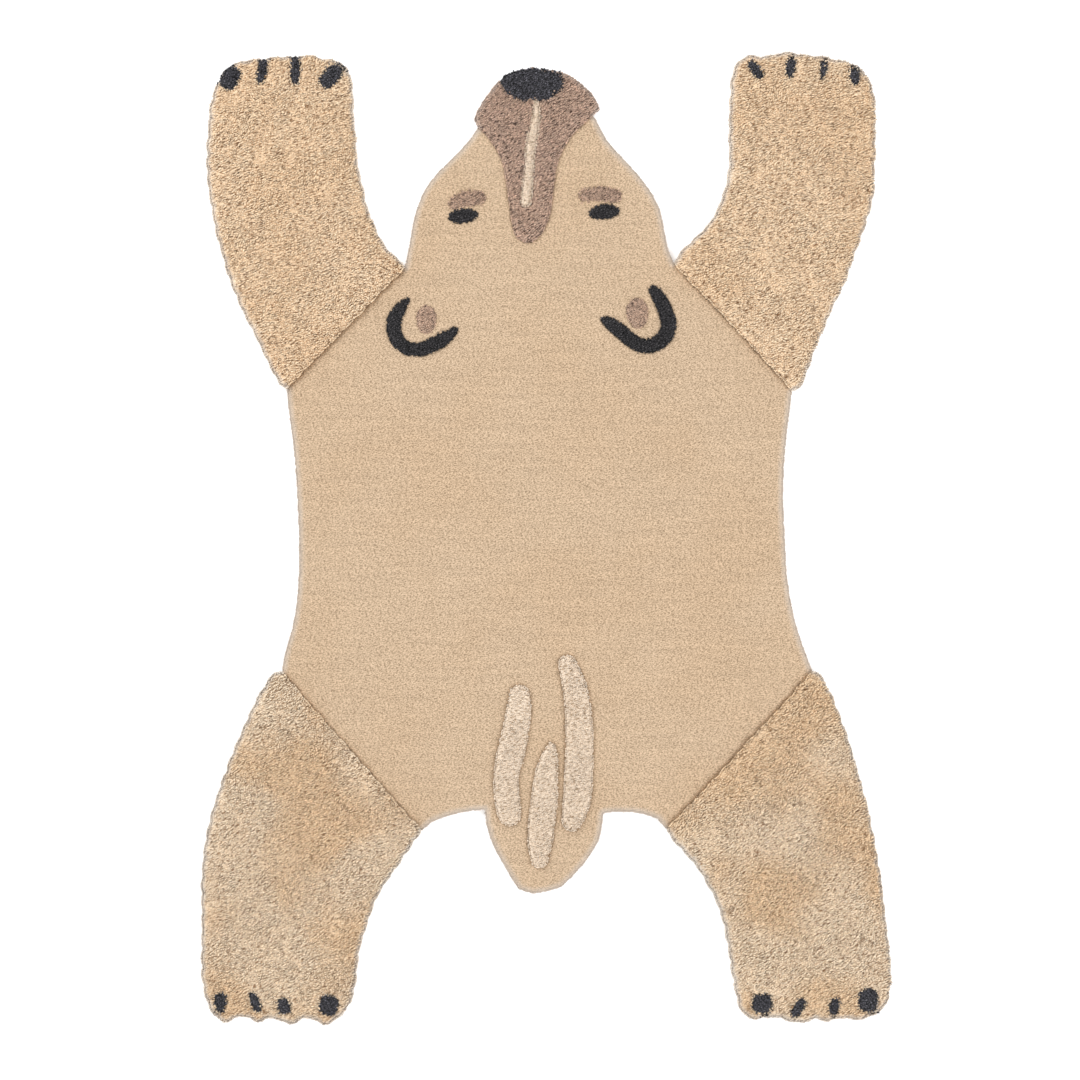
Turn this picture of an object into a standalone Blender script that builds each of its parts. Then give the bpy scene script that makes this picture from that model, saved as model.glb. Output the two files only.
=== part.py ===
"""Hand-tufted child's rug in the shape of a bear hide lying flat, in metres.

The hide lies face up on the floor: +Y points to the nose, +X to the right as seen from above with the
nose away, +Z up, and the origin is on the floor under the middle of the rug's footprint.

One cloth, rug_ground, is the whole outline: a thin foundation with the low pile of head, back and tail
standing on it. The legs are fields of high pile, and the muzzle, nose, brows, eyes, ears, claws and tail
strokes are pile of other colours. Each stands on the foundation, in its own pocket of the pile around it.
"""

import math
import random
from typing import NamedTuple

import bmesh
import bpy
import numpy as np
from mathutils.geometry import delaunay_2d_cdt

# Heights above the floor
FOUNDATION_TOP = 0.004
LOW_PILE_TOP = 0.013
HIGH_PILE_TOP = 0.028
CLAW_TOP = 0.027
MUZZLE_TOP = 0.019
NOSE_TOP = 0.021
STRIPE_TOP = 0.0185
TAIL_STROKE_TOP = 0.020
EAR_TOP = 0.0165
EYE_TOP = 0.016
SOFT_MARK_TOP = 0.0142  # brows and inner ears, hardly above the low pile

CLEARANCE = 0.0003  # between a field of pile and what it stands on or in
PILE_ROOT = 0.002  # how deep the low pile is let into the foundation
FOUNDATION_INSET = 0.0015  # the pile splays this far past the foundation's edge
EDGE_ROUND = 0.0022  # how far a pile's top edge draws in

# Locks round the rim of the high pile: each has a valley, then two points that stand out
LOCK_PITCH = 0.030
POINTS_PER_LOCK = 3
LOCK_REACH = 0.0022  # how far the longest locks stand out
SHORTEST_LOCK = 0.45  # of that reach
LOCK_VALLEY = 0.0008  # how far the valleys draw in
LOCK_SAG = 0.0015  # how much lower the pile is in a valley
LOCK_CREST = -0.003  # where a lock's top edge lies from the outline, and a valley's
VALLEY_CREST = -0.005

# Lumps of a pile's top: a loose triangular grid
LUMP_PITCH = 0.024
LUMP_HEIGHT = 0.0026
LOW_LUMP_PITCH = 0.060
LOW_LUMP_HEIGHT = 0.0005
LUMP_STRAY = 0.18  # of the pitch
LUMP_ROOM = 0.55  # of the pitch, to the rim

# Spacing of outline points
COARSE = 0.024
MEDIUM = 0.014
FINE = 0.0085
LOCK_STEP = LOCK_PITCH / POINTS_PER_LOCK
CLAW_CORNERS = 12
SHARPEST_MITRE = 0.6  # cosine of half the turn past which a moved outline's corner isn't drawn out more
SAME_POINT = 1e-6

SEED = 7


class Section(NamedTuple):
    """A section across the hide at height y, from its left edge to its right edge."""

    y: float
    left: float
    right: float


class LegSection(NamedTuple):
    """A section across a leg at height y, from its outer edge to its inner edge or its seam."""

    y: float
    outer: float
    inner: float


class Toe(NamedTuple):
    """A point on the rim of a paw's end: a toe's tip, its shoulder, or the valley beside it."""

    x: float
    y: float


class Leg(NamedTuple):
    """One leg: the free sections from the paw on, those along its seam, its outer corner and its toes."""

    free: tuple
    joined: tuple
    outer_corner: tuple
    toes: tuple  # from the outer side of the paw to the inner


class Mark(NamedTuple):
    """An oval mark: centre, size across and along, tilt in degrees anticlockwise.

    It may narrow towards its lower end. Its fullness is 1 for an ellipse and less for a squarer oval.
    """

    x: float
    y: float
    across: float
    along: float
    tilt: float = 0.0
    narrowing: float = 0.0
    fullness: float = 1.0


class Stroke(NamedTuple):
    """A section of a drawn-out mark: its middle and its width there."""

    x: float
    y: float
    width: float


# Head, from the muzzle's corners to the neck
MUZZLE_CORNER_LEFT = (-0.111, 0.679)
MUZZLE_CORNER_RIGHT = (0.077, 0.700)
HEAD = (
    Section(0.655, -0.127, 0.100),
    Section(0.630, -0.150, 0.123),
    Section(0.605, -0.176, 0.146),
    Section(0.580, -0.196, 0.166),
    Section(0.550, -0.210, 0.184),
    Section(0.515, -0.219, 0.193),
    Section(0.480, -0.225, 0.199),
)
# Where head, front leg and back meet, and where leg and flank meet
NECK_LEFT = (-0.232, 0.449)
NECK_RIGHT = (0.211, 0.455)
SHOULDER_LEFT = (-0.427, 0.249)
SHOULDER_RIGHT = (0.406, 0.246)
FLANKS = (
    Section(0.229, -0.4255, 0.403),
    Section(0.180, -0.419, 0.397),
    Section(0.130, -0.413, 0.392),
    Section(0.064, -0.409, 0.390),
    Section(-0.002, -0.406, 0.393),
    Section(-0.068, -0.407, 0.397),
    Section(-0.134, -0.414, 0.409),
    Section(-0.184, -0.428, 0.425),
)
HIP_LEFT = (-0.436, -0.221)
HIP_RIGHT = (0.440, -0.221)
CROTCH_LEFT = (-0.206, -0.483)
CROTCH_RIGHT = (0.199, -0.480)
# Rump from the left crotch to the tail's root, and from there to the right crotch
RUMP_LEFT = ((-0.195, -0.470), (-0.160, -0.456), (-0.122, -0.448))
TAIL_ROOT_LEFT = (-0.100, -0.446)
TAIL_ROOT_RIGHT = (0.093, -0.452)
RUMP_RIGHT = ((0.130, -0.449), (0.165, -0.454), (0.190, -0.465))
TAIL = (
    Section(-0.470, -0.097, 0.092),
    Section(-0.500, -0.089, 0.085),
    Section(-0.530, -0.073, 0.066),
    Section(-0.560, -0.056, 0.040),
    Section(-0.578, -0.044, 0.018),
)
TAIL_TIP = ((-0.026, -0.585), (-0.006, -0.582))

FRONT_LEG_LEFT = Leg(
    free=(
        LegSection(0.745, -0.543, -0.321),
        LegSection(0.704, -0.553, -0.319),
        LegSection(0.660, -0.556, -0.316),
        LegSection(0.616, -0.558, -0.312),
        LegSection(0.575, -0.555, -0.303),
        LegSection(0.535, -0.548, -0.293),
        LegSection(0.495, -0.540, -0.275),
        LegSection(0.470, -0.533, -0.257),
    ),
    joined=(
        LegSection(0.430, -0.521, -0.251),
        LegSection(0.380, -0.501, -0.300),
        LegSection(0.330, -0.476, -0.349),
        LegSection(0.285, -0.455, -0.393),
    ),
    outer_corner=(-0.438, 0.256),
    toes=(
        Toe(-0.534, 0.764),
        Toe(-0.517, 0.779),
        Toe(-0.474, 0.789),
        Toe(-0.411, 0.794),
        Toe(-0.380, 0.793),
        Toe(-0.367, 0.787),
        Toe(-0.347, 0.788),
        Toe(-0.328, 0.771),
    ),
)
FRONT_LEG_RIGHT = Leg(
    free=(
        LegSection(0.735, 0.538, 0.306),
        LegSection(0.704, 0.541, 0.304),
        LegSection(0.660, 0.541, 0.304),
        LegSection(0.616, 0.540, 0.304),
        LegSection(0.585, 0.539, 0.299),
        LegSection(0.550, 0.535, 0.287),
        LegSection(0.515, 0.524, 0.267),
        LegSection(0.480, 0.511, 0.231),
    ),
    joined=(
        LegSection(0.430, 0.494, 0.234),
        LegSection(0.380, 0.471, 0.282),
        LegSection(0.330, 0.449, 0.329),
        LegSection(0.285, 0.432, 0.370),
    ),
    outer_corner=(0.418, 0.248),
    toes=(
        Toe(0.527, 0.762),
        Toe(0.504, 0.782),
        Toe(0.478, 0.787),
        Toe(0.457, 0.793),
        Toe(0.426, 0.795),
        Toe(0.398, 0.800),
        Toe(0.357, 0.793),
        Toe(0.330, 0.794),
        Toe(0.314, 0.780),
        Toe(0.308, 0.757),
    ),
)
HIND_LEG_LEFT = Leg(
    free=(
        LegSection(-0.758, -0.559, -0.322),
        LegSection(-0.730, -0.565, -0.316),
        LegSection(-0.690, -0.566, -0.312),
        LegSection(-0.645, -0.566, -0.300),
        LegSection(-0.600, -0.566, -0.284),
        LegSection(-0.563, -0.566, -0.263),
        LegSection(-0.530, -0.564, -0.240),
        LegSection(-0.500, -0.560, -0.220),
    ),
    joined=(
        LegSection(-0.450, -0.549, -0.236),
        LegSection(-0.390, -0.529, -0.289),
        LegSection(-0.330, -0.505, -0.342),
        LegSection(-0.270, -0.478, -0.394),
    ),
    outer_corner=(-0.448, -0.221),
    toes=(
        Toe(-0.547, -0.783),
        Toe(-0.528, -0.797),
        Toe(-0.502, -0.785),
        Toe(-0.475, -0.796),
        Toe(-0.453, -0.788),
        Toe(-0.422, -0.799),
        Toe(-0.393, -0.788),
        Toe(-0.363, -0.800),
        Toe(-0.334, -0.780),
    ),
)
HIND_LEG_RIGHT = Leg(
    free=(
        LegSection(-0.755, 0.563, 0.316),
        LegSection(-0.730, 0.567, 0.311),
        LegSection(-0.690, 0.565, 0.304),
        LegSection(-0.645, 0.560, 0.297),
        LegSection(-0.600, 0.555, 0.283),
        LegSection(-0.563, 0.551, 0.264),
        LegSection(-0.530, 0.545, 0.242),
        LegSection(-0.500, 0.540, 0.214),
    ),
    joined=(
        LegSection(-0.450, 0.530, 0.229),
        LegSection(-0.390, 0.514, 0.285),
        LegSection(-0.330, 0.496, 0.340),
        LegSection(-0.270, 0.474, 0.396),
    ),
    outer_corner=(0.450, -0.222),
    toes=(
        Toe(0.552, -0.777),
        Toe(0.517, -0.792),
        Toe(0.488, -0.788),
        Toe(0.462, -0.795),
        Toe(0.442, -0.790),
        Toe(0.415, -0.797),
        Toe(0.375, -0.787),
        Toe(0.342, -0.791),
        Toe(0.322, -0.777),
    ),
)

# Muzzle: its front over the nose, from the left corner to the right, and its bridge down the face
MUZZLE_FRONT = (
    (-0.117, 0.693),
    (-0.103, 0.720),
    (-0.074, 0.757),
    (-0.049, 0.771),
    (-0.022, 0.775),
    (0.010, 0.772),
    (0.042, 0.760),
    (0.069, 0.738),
    (0.083, 0.719),
    (0.087, 0.708),
)
BRIDGE = (
    Section(0.670, -0.101, 0.045),
    Section(0.645, -0.082, 0.028),
    Section(0.615, -0.069, 0.016),
    Section(0.580, -0.063, 0.011),
    Section(0.545, -0.058, 0.007),
    Section(0.515, -0.054, -0.002),
)
BRIDGE_TIP = ((-0.045, 0.494), (-0.030, 0.489), (-0.016, 0.495))

NOSE = Mark(-0.0225, 0.7465, across=0.1200, along=0.0530, narrowing=0.32, fullness=0.95)
NOSE_NOTCH = 0.0105
NOSE_NOTCH_HALF_ANGLE = math.radians(19)
EYE_LEFT = Mark(-0.1370, 0.5320, across=0.050, along=0.025, tilt=6)
EYE_RIGHT = Mark(0.0955, 0.5390, across=0.051, along=0.025, tilt=5)
INNER_EAR_LEFT = Mark(-0.1975, 0.3600, across=0.038, along=0.051, narrowing=0.25)
INNER_EAR_RIGHT = Mark(0.1510, 0.3710, across=0.042, along=0.053, tilt=8, narrowing=0.25)

BROW_LEFT = (Stroke(-0.152, 0.5525, 0.019), Stroke(-0.136, 0.5590, 0.025), Stroke(-0.112, 0.5620, 0.025))
BROW_RIGHT = (Stroke(0.064, 0.5660, 0.021), Stroke(0.088, 0.5690, 0.024), Stroke(0.115, 0.5650, 0.022))
NOSE_STRIPE = (
    Stroke(-0.0185, 0.7205, 0.006),
    Stroke(-0.0155, 0.703, 0.012),
    Stroke(-0.0205, 0.674, 0.015),
    Stroke(-0.0255, 0.644, 0.016),
    Stroke(-0.0275, 0.615, 0.015),
    Stroke(-0.0300, 0.585, 0.016),
    Stroke(-0.0335, 0.556, 0.018),
)
EAR_LEFT = (
    Stroke(-0.228, 0.394, 0.008),
    Stroke(-0.240, 0.380, 0.019),
    Stroke(-0.249, 0.364, 0.024),
    Stroke(-0.251, 0.346, 0.024),
    Stroke(-0.244, 0.325, 0.023),
    Stroke(-0.227, 0.313, 0.022),
    Stroke(-0.205, 0.312, 0.023),
    Stroke(-0.182, 0.322, 0.024),
    Stroke(-0.163, 0.333, 0.021),
    Stroke(-0.151, 0.343, 0.012),
)
EAR_RIGHT = (
    Stroke(0.178, 0.409, 0.018),
    Stroke(0.188, 0.394, 0.022),
    Stroke(0.197, 0.376, 0.025),
    Stroke(0.202, 0.357, 0.025),
    Stroke(0.199, 0.337, 0.025),
    Stroke(0.182, 0.321, 0.024),
    Stroke(0.162, 0.317, 0.023),
    Stroke(0.143, 0.325, 0.023),
    Stroke(0.124, 0.341, 0.024),
    Stroke(0.107, 0.354, 0.021),
    Stroke(0.095, 0.361, 0.011),
)
TAIL_STROKE_LEFT = (
    Stroke(-0.0440, -0.258, 0.034),
    Stroke(-0.0440, -0.275, 0.039),
    Stroke(-0.0495, -0.313, 0.043),
    Stroke(-0.0590, -0.357, 0.045),
    Stroke(-0.0660, -0.392, 0.040),
    Stroke(-0.0640, -0.430, 0.041),
    Stroke(-0.0600, -0.456, 0.037),
)
TAIL_STROKE_MIDDLE = (
    Stroke(0.0085, -0.343, 0.014),
    Stroke(0.0060, -0.358, 0.026),
    Stroke(0.0010, -0.387, 0.037),
    Stroke(-0.0030, -0.431, 0.043),
    Stroke(-0.0080, -0.475, 0.043),
    Stroke(-0.0100, -0.505, 0.039),
    Stroke(-0.0110, -0.530, 0.028),
)
TAIL_STROKE_RIGHT = (
    Stroke(0.0350, -0.207, 0.030),
    Stroke(0.0460, -0.240, 0.038),
    Stroke(0.0530, -0.283, 0.043),
    Stroke(0.0550, -0.327, 0.045),
    Stroke(0.0540, -0.387, 0.046),
    Stroke(0.0510, -0.431, 0.045),
    Stroke(0.0430, -0.466, 0.034),
)

# Claws of each paw from left to right; they are squarer than an ellipse
CLAW_FULLNESS = 0.7
CLAWS = {
    "front_left": (
        Mark(-0.5200, 0.7570, across=0.028, along=0.040, tilt=-28),
        Mark(-0.4675, 0.7690, across=0.016, along=0.041, tilt=-12),
        Mark(-0.4135, 0.7695, across=0.017, along=0.048),
        Mark(-0.3543, 0.7610, across=0.027, along=0.045, tilt=-40),
    ),
    "front_right": (
        Mark(0.3450, 0.7710, across=0.017, along=0.035, tilt=34),
        Mark(0.4025, 0.7765, across=0.016, along=0.033, tilt=-4),
        Mark(0.4560, 0.7720, across=0.012, along=0.031, tilt=-8),
        Mark(0.5070, 0.7610, across=0.017, along=0.029, tilt=4),
    ),
    "hind_left": (
        Mark(-0.5365, -0.7650, across=0.026, along=0.033, narrowing=0.55),
        Mark(-0.4795, -0.7640, across=0.015, along=0.036, tilt=22),
        Mark(-0.4320, -0.7695, across=0.021, along=0.027, tilt=12),
        Mark(-0.3585, -0.7685, across=0.032, along=0.033, tilt=-12),
    ),
    "hind_right": (
        Mark(0.3555, -0.7660, across=0.034, along=0.033),
        Mark(0.4150, -0.7730, across=0.017, along=0.035, tilt=-33),
        Mark(0.4740, -0.7700, across=0.017, along=0.030, tilt=-12),
        Mark(0.5300, -0.7605, across=0.033, along=0.039, tilt=-6),
    ),
}


class Wool(NamedTuple):
    """A pile yarn: its colour as linear RGB and its roughness."""

    colour: tuple
    roughness: float


SAND_LOW = Wool((0.690, 0.508, 0.345), 0.95)
SAND_HIGH = Wool((0.680, 0.490, 0.325), 0.95)
CHARCOAL = Wool((0.045, 0.043, 0.052), 0.95)
TAUPE = Wool((0.385, 0.258, 0.197), 0.95)
CREAM = Wool((0.730, 0.585, 0.445), 0.95)


# Outlines --------------------------------------------------------------------


def spaced(points, step):
    """A polyline's points set out again at equal steps, with both ends kept."""
    along = np.concatenate([[0.0], np.cumsum(np.linalg.norm(np.diff(points, axis=0), axis=1))])
    at = np.linspace(0.0, along[-1], max(2, round(along[-1] / step) + 1))
    return np.stack([np.interp(at, along, column) for column in points.T], axis=1)


def curve_through(points, per_span=8):
    """A Catmull-Rom curve: in each span a cubic whose slopes at its ends come from the points beside them."""
    p = np.array(points, float)
    p = np.vstack([2 * p[0] - p[1], p, 2 * p[-1] - p[-2]])
    t = np.linspace(0.0, 1.0, per_span, endpoint=False)[:, None]
    spans = [
        0.5 * (2 * b + (c - a) * t + (2 * a - 5 * b + 4 * c - d) * t**2 + (3 * b - a - 3 * c + d) * t**3)
        for a, b, c, d in zip(p, p[1:], p[2:], p[3:])
    ]
    return np.vstack([*spans, p[-2]])


def run(points, step):
    """A stretch of an outline: the smooth curve through its points, at equal steps."""
    return spaced(curve_through(points), step)


def loop_of(*runs):
    """One closed outline from runs that follow each other, anticlockwise, with no point twice."""
    points = [p for r in runs for p in r]
    before = points[-1:] + points[:-1]
    loop = np.array([p for p, q in zip(points, before) if math.dist(p, q) > SAME_POINT])
    return loop if signed_area(loop) > 0 else loop[::-1]


def signed_area(loop):
    """The area inside a closed outline, positive if it runs anticlockwise."""
    x, y = loop[:, 0], loop[:, 1]
    return 0.5 * float(np.sum(x * np.roll(y, -1) - np.roll(x, -1) * y))


def moved_out(loop, distance):
    """An anticlockwise outline moved outwards by a distance, or by one for each point."""
    before, after = loop - np.roll(loop, 1, axis=0), np.roll(loop, -1, axis=0) - loop
    sides = [np.stack([d[:, 1], -d[:, 0]], axis=1) for d in (before, after)]
    sides = [s / np.linalg.norm(s, axis=1)[:, None] for s in sides]
    mitre = sides[0] + sides[1]
    mitre /= np.linalg.norm(mitre, axis=1)[:, None]
    stretch = 1.0 / np.maximum(np.sum(mitre * sides[0], axis=1), SHARPEST_MITRE)
    return loop + mitre * (stretch * distance)[:, None]


def inside(points, loop):
    """Which points lie inside a closed outline, by the number of its sides that a ray to the right meets."""
    x, y = points[:, 0:1], points[:, 1:2]
    x0, y0 = loop[:, 0], loop[:, 1]
    x1, y1 = np.roll(x0, -1), np.roll(y0, -1)
    rise = np.where(y1 == y0, 1e-12, y1 - y0)
    meets = ((y0 > y) != (y1 > y)) & (x < (x1 - x0) * (y - y0) / rise + x0)
    return meets.sum(axis=1) % 2 == 1


def room_to(points, loop):
    """The distance from each point to the nearest point of an outline."""
    return np.linalg.norm(points[:, None] - loop[None], axis=2).min(axis=1)


def oval(mark, corners=None):
    """The outline of an oval mark: a superellipse, narrower towards its lower end, turned by its tilt."""
    around = math.pi * math.hypot(mark.across, mark.along) / math.sqrt(2)
    turn = np.linspace(0.0, 2 * math.pi, corners or round(around / FINE), endpoint=False)
    x = mark.across / 2 * np.sign(np.cos(turn)) * np.abs(np.cos(turn)) ** mark.fullness
    y = mark.along / 2 * np.sign(np.sin(turn)) * np.abs(np.sin(turn)) ** mark.fullness
    x = x * (1 + mark.narrowing * (np.sin(turn) - 1) / 2)
    c, s = math.cos(math.radians(mark.tilt)), math.sin(math.radians(mark.tilt))
    return np.stack([mark.x + x * c - y * s, mark.y + x * s + y * c], axis=1)


def swept(strokes, step=FINE):
    """The outline of a drawn-out mark: both sides of its curved middle line, with a round cap at each end."""
    line = run([(s.x, s.y, s.width) for s in strokes], step)
    middle, half = line[:, :2], line[:, 2:] / 2
    along = np.gradient(middle, axis=0)
    along /= np.linalg.norm(along, axis=1)[:, None]
    side = np.stack([-along[:, 1], along[:, 0]], axis=1)
    cap = np.linspace(0.0, math.pi, max(4, round(math.pi * half.max() / step)) + 1)[1:-1, None]
    start = middle[0] + half[0] * (-np.cos(cap) * side[0] - np.sin(cap) * along[0])
    end = middle[-1] + half[-1] * (np.cos(cap) * side[-1] + np.sin(cap) * along[-1])
    return loop_of(middle + half * side, end, (middle - half * side)[::-1], start)


def nose_outline():
    """The nose: an oval with a small notch at the middle of its lower edge."""
    loop = oval(NOSE)
    middle = np.array([NOSE.x, NOSE.y])
    from_below = np.arctan2(loop[:, 0] - NOSE.x, NOSE.y - loop[:, 1])
    depth = NOSE_NOTCH * np.clip(1 - np.abs(from_below) / NOSE_NOTCH_HALF_ANGLE, 0, 1)
    towards = (middle - loop) / np.linalg.norm(middle - loop, axis=1)[:, None]
    return loop + towards * depth[:, None]


# Solids ----------------------------------------------------------------------


def filled(loop, points=()):
    """Triangles over the inside of an outline, through the points too, numbered after the outline's."""
    every = [tuple(p) for p in [*loop, *points]]
    made = delaunay_2d_cdt(every, [], [range(len(loop))], 1, 1e-7)
    faces, given = made[2], made[3]
    if not all(given):
        raise ValueError("an outline crosses itself")
    return [[given[k][0] for k in face] for face in faces]


def lump_points(loop, pitch, rng):
    """Points inside an outline on a loose triangular grid, clear of the outline."""
    low, high = loop.min(axis=0), loop.max(axis=0)
    grid = []
    for k, y in enumerate(np.arange(low[1], high[1], pitch * math.sqrt(0.75))):
        for x in np.arange(low[0] + (k % 2) * pitch / 2, high[0], pitch):
            stray = [rng.uniform(-LUMP_STRAY, LUMP_STRAY) * pitch for _ in range(2)]
            grid.append((x + stray[0], y + stray[1]))
    grid = np.array(grid)
    grid = grid[inside(grid, loop)]
    return grid[room_to(grid, loop) > pitch * LUMP_ROOM]


def block(name, rings, heights, wool=None, lumps=(), lump_heights=()):
    """A closed solid: a flat underside, walls through the rings, and a top that is filled through its lumps.

    The rings are outlines with the same number of points, from the lowest up. Each has one height, or one
    for each of its points. A block with no wool is a guide for a Boolean and isn't part of the rug.
    """
    centre = (rings[0].min(axis=0) + rings[0].max(axis=0)) / 2
    bm = bmesh.new()

    def corners(points, height):
        tall = np.broadcast_to(height, (len(points),))
        return [bm.verts.new((*(p - centre), z)) for p, z in zip(points, tall)]

    levels = [corners(ring, height) for ring, height in zip(rings, heights)]
    for lower, upper in zip(levels, levels[1:]):
        for k in range(len(lower)):
            bm.faces.new((lower[k - 1], lower[k], upper[k], upper[k - 1]))
    for face in filled(rings[0]):
        bm.faces.new([levels[0][k] for k in reversed(face)])
    top = levels[-1] + corners(lumps, lump_heights)
    for face in filled(rings[-1], lumps):
        bm.faces.new([top[k] for k in face])
    mesh = bpy.data.meshes.new(name)
    bm.to_mesh(mesh)
    bm.free()
    obj = bpy.data.objects.new(name, mesh)
    obj.location = (*centre, 0.0)
    bpy.context.scene.collection.objects.link(obj)
    if wool:
        mesh.shade_smooth()
        mesh.materials.append(wool_material(name, wool))
    else:
        obj.hide_render = True
        obj.display_type = "WIRE"
    return obj


def wool_material(name, wool):
    """The piece's own material, in its yarn's colour."""
    material = bpy.data.materials.new(name + "_wool")
    material.use_nodes = True
    shader = material.node_tree.nodes["Principled BSDF"]
    shader.inputs["Base Color"].default_value = (*wool.colour, 1.0)
    shader.inputs["Roughness"].default_value = wool.roughness
    shader.inputs["Metallic"].default_value = 0.0
    material.diffuse_color = (*wool.colour, 1.0)
    return material


def boolean(obj, other, operation):
    """Joins the other solid to this one, or cuts it away, with a live modifier."""
    modifier = obj.modifiers.new(operation.lower() + "_" + other.name, "BOOLEAN")
    modifier.operation = operation
    modifier.object = other
    modifier.solver = "EXACT"


def cut_pocket(obj, name, loop, floor):
    """Cuts a pocket with this outline, from its floor up, right through the top of a field of pile."""
    boolean(obj, block("pocket_" + name, [loop, loop], [floor, 2 * HIGH_PILE_TOP]), "DIFFERENCE")


def pad(name, loop, top, wool, pile_around):
    """A low field of pile in its pocket: upright to the pile around it, a soft edge above that."""
    snug = moved_out(loop, -CLEARANCE)
    over = max(top - EDGE_ROUND / 2, pile_around)
    rings = [snug, snug, moved_out(loop, -EDGE_ROUND)]
    return block(name, rings, [FOUNDATION_TOP + CLEARANCE, over, top], wool)


# Sub-parts -------------------------------------------------------------------


def leg_runs(leg, neck_or_crotch, shoulder_or_hip):
    """A leg's two runs: its free rim from the inner corner round the paw, and its seam back to the start."""
    inner = [(s.inner, s.y) for s in reversed(leg.free)]
    toes = [(t.x, t.y) for t in reversed(leg.toes)]
    outer = [(s.outer, s.y) for s in leg.free + leg.joined]
    rim = [neck_or_crotch, *inner, *toes, *outer, leg.outer_corner]
    seam = [shoulder_or_hip, *[(s.inner, s.y) for s in reversed(leg.joined)], neck_or_crotch]
    return rim, seam


def muzzle_runs():
    """The muzzle's front rim from its left corner to its right, and its bridge back to the left corner."""
    front = [MUZZLE_CORNER_LEFT, *MUZZLE_FRONT, MUZZLE_CORNER_RIGHT]
    down = [(s.right, s.y) for s in BRIDGE]
    up = [(s.left, s.y) for s in reversed(BRIDGE)]
    return front, [MUZZLE_CORNER_RIGHT, *down, *reversed(BRIDGE_TIP), *up, MUZZLE_CORNER_LEFT]


def body_runs(step):
    """The free runs of head, flanks, rump and tail, keyed by name, each going anticlockwise."""
    head_left = [MUZZLE_CORNER_LEFT, *[(s.left, s.y) for s in HEAD], NECK_LEFT]
    head_right = [NECK_RIGHT, *[(s.right, s.y) for s in reversed(HEAD)], MUZZLE_CORNER_RIGHT]
    flank_left = [SHOULDER_LEFT, *[(s.left, s.y) for s in FLANKS], HIP_LEFT]
    flank_right = [HIP_RIGHT, *[(s.right, s.y) for s in reversed(FLANKS)], SHOULDER_RIGHT]
    tail_down = [(s.left, s.y) for s in TAIL]
    tail_up = [(s.right, s.y) for s in reversed(TAIL)]
    runs = {
        "head_left": head_left,
        "flank_left": flank_left,
        "rump_left": [CROTCH_LEFT, *RUMP_LEFT, TAIL_ROOT_LEFT],
        "tail": [TAIL_ROOT_LEFT, *tail_down, *TAIL_TIP, *tail_up, TAIL_ROOT_RIGHT],
        "rump_right": [TAIL_ROOT_RIGHT, *RUMP_RIGHT, CROTCH_RIGHT],
        "flank_right": flank_right,
        "head_right": head_right,
    }
    return {name: run(points, step) for name, points in runs.items()}


def place_in(loop, points):
    """Which points of an outline are also among the given points."""
    return room_to(loop, points) < SAME_POINT


def ground(legs, muzzle_front, muzzle_seam, pockets):
    """The rug's cloth: the foundation over the whole outline, and the low pile on it with its pockets."""
    free = body_runs(COARSE)
    rims = {name: run(rim, COARSE) for name, (rim, _) in legs.items()}
    seams = {name: run(seam, COARSE) for name, (_, seam) in legs.items()}
    bridge = run(muzzle_seam, MEDIUM)
    outline = loop_of(
        free["head_left"],
        rims["front_leg_left"],
        free["flank_left"],
        rims["hind_leg_left"][::-1],
        free["rump_left"],
        free["tail"],
        free["rump_right"],
        rims["hind_leg_right"],
        free["flank_right"],
        rims["front_leg_right"][::-1],
        free["head_right"],
        run(muzzle_front, COARSE)[::-1],
    )
    edge = moved_out(outline, -FOUNDATION_INSET)
    foundation = block("rug_ground", [edge, edge], [0.0, FOUNDATION_TOP], SAND_LOW)
    body = loop_of(
        free["head_left"],
        seams["front_leg_left"][::-1],
        free["flank_left"],
        seams["hind_leg_left"],
        free["rump_left"],
        free["tail"],
        free["rump_right"],
        seams["hind_leg_right"][::-1],
        free["flank_right"],
        seams["front_leg_right"],
        free["head_right"],
        bridge,
    )
    on_seam = place_in(body, np.vstack([*seams.values(), bridge]))
    splay = np.where(on_seam, 0.0, EDGE_ROUND / 2)
    top_edge = moved_out(body, np.where(on_seam, -CLEARANCE, -EDGE_ROUND))
    rng = random.Random(SEED)
    lumps = lump_points(top_edge, LOW_LUMP_PITCH, rng)
    tall = [LOW_PILE_TOP + LOW_LUMP_HEIGHT * rng.uniform(-1, 0) for _ in lumps]
    rings = [body, moved_out(body, splay), top_edge]
    heights = [PILE_ROOT, LOW_PILE_TOP - EDGE_ROUND, LOW_PILE_TOP]
    boolean(foundation, block("low_pile", rings, heights, lumps=lumps, lump_heights=tall), "UNION")
    for name, loop in pockets.items():
        cut_pocket(foundation, name, loop, FOUNDATION_TOP)


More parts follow.
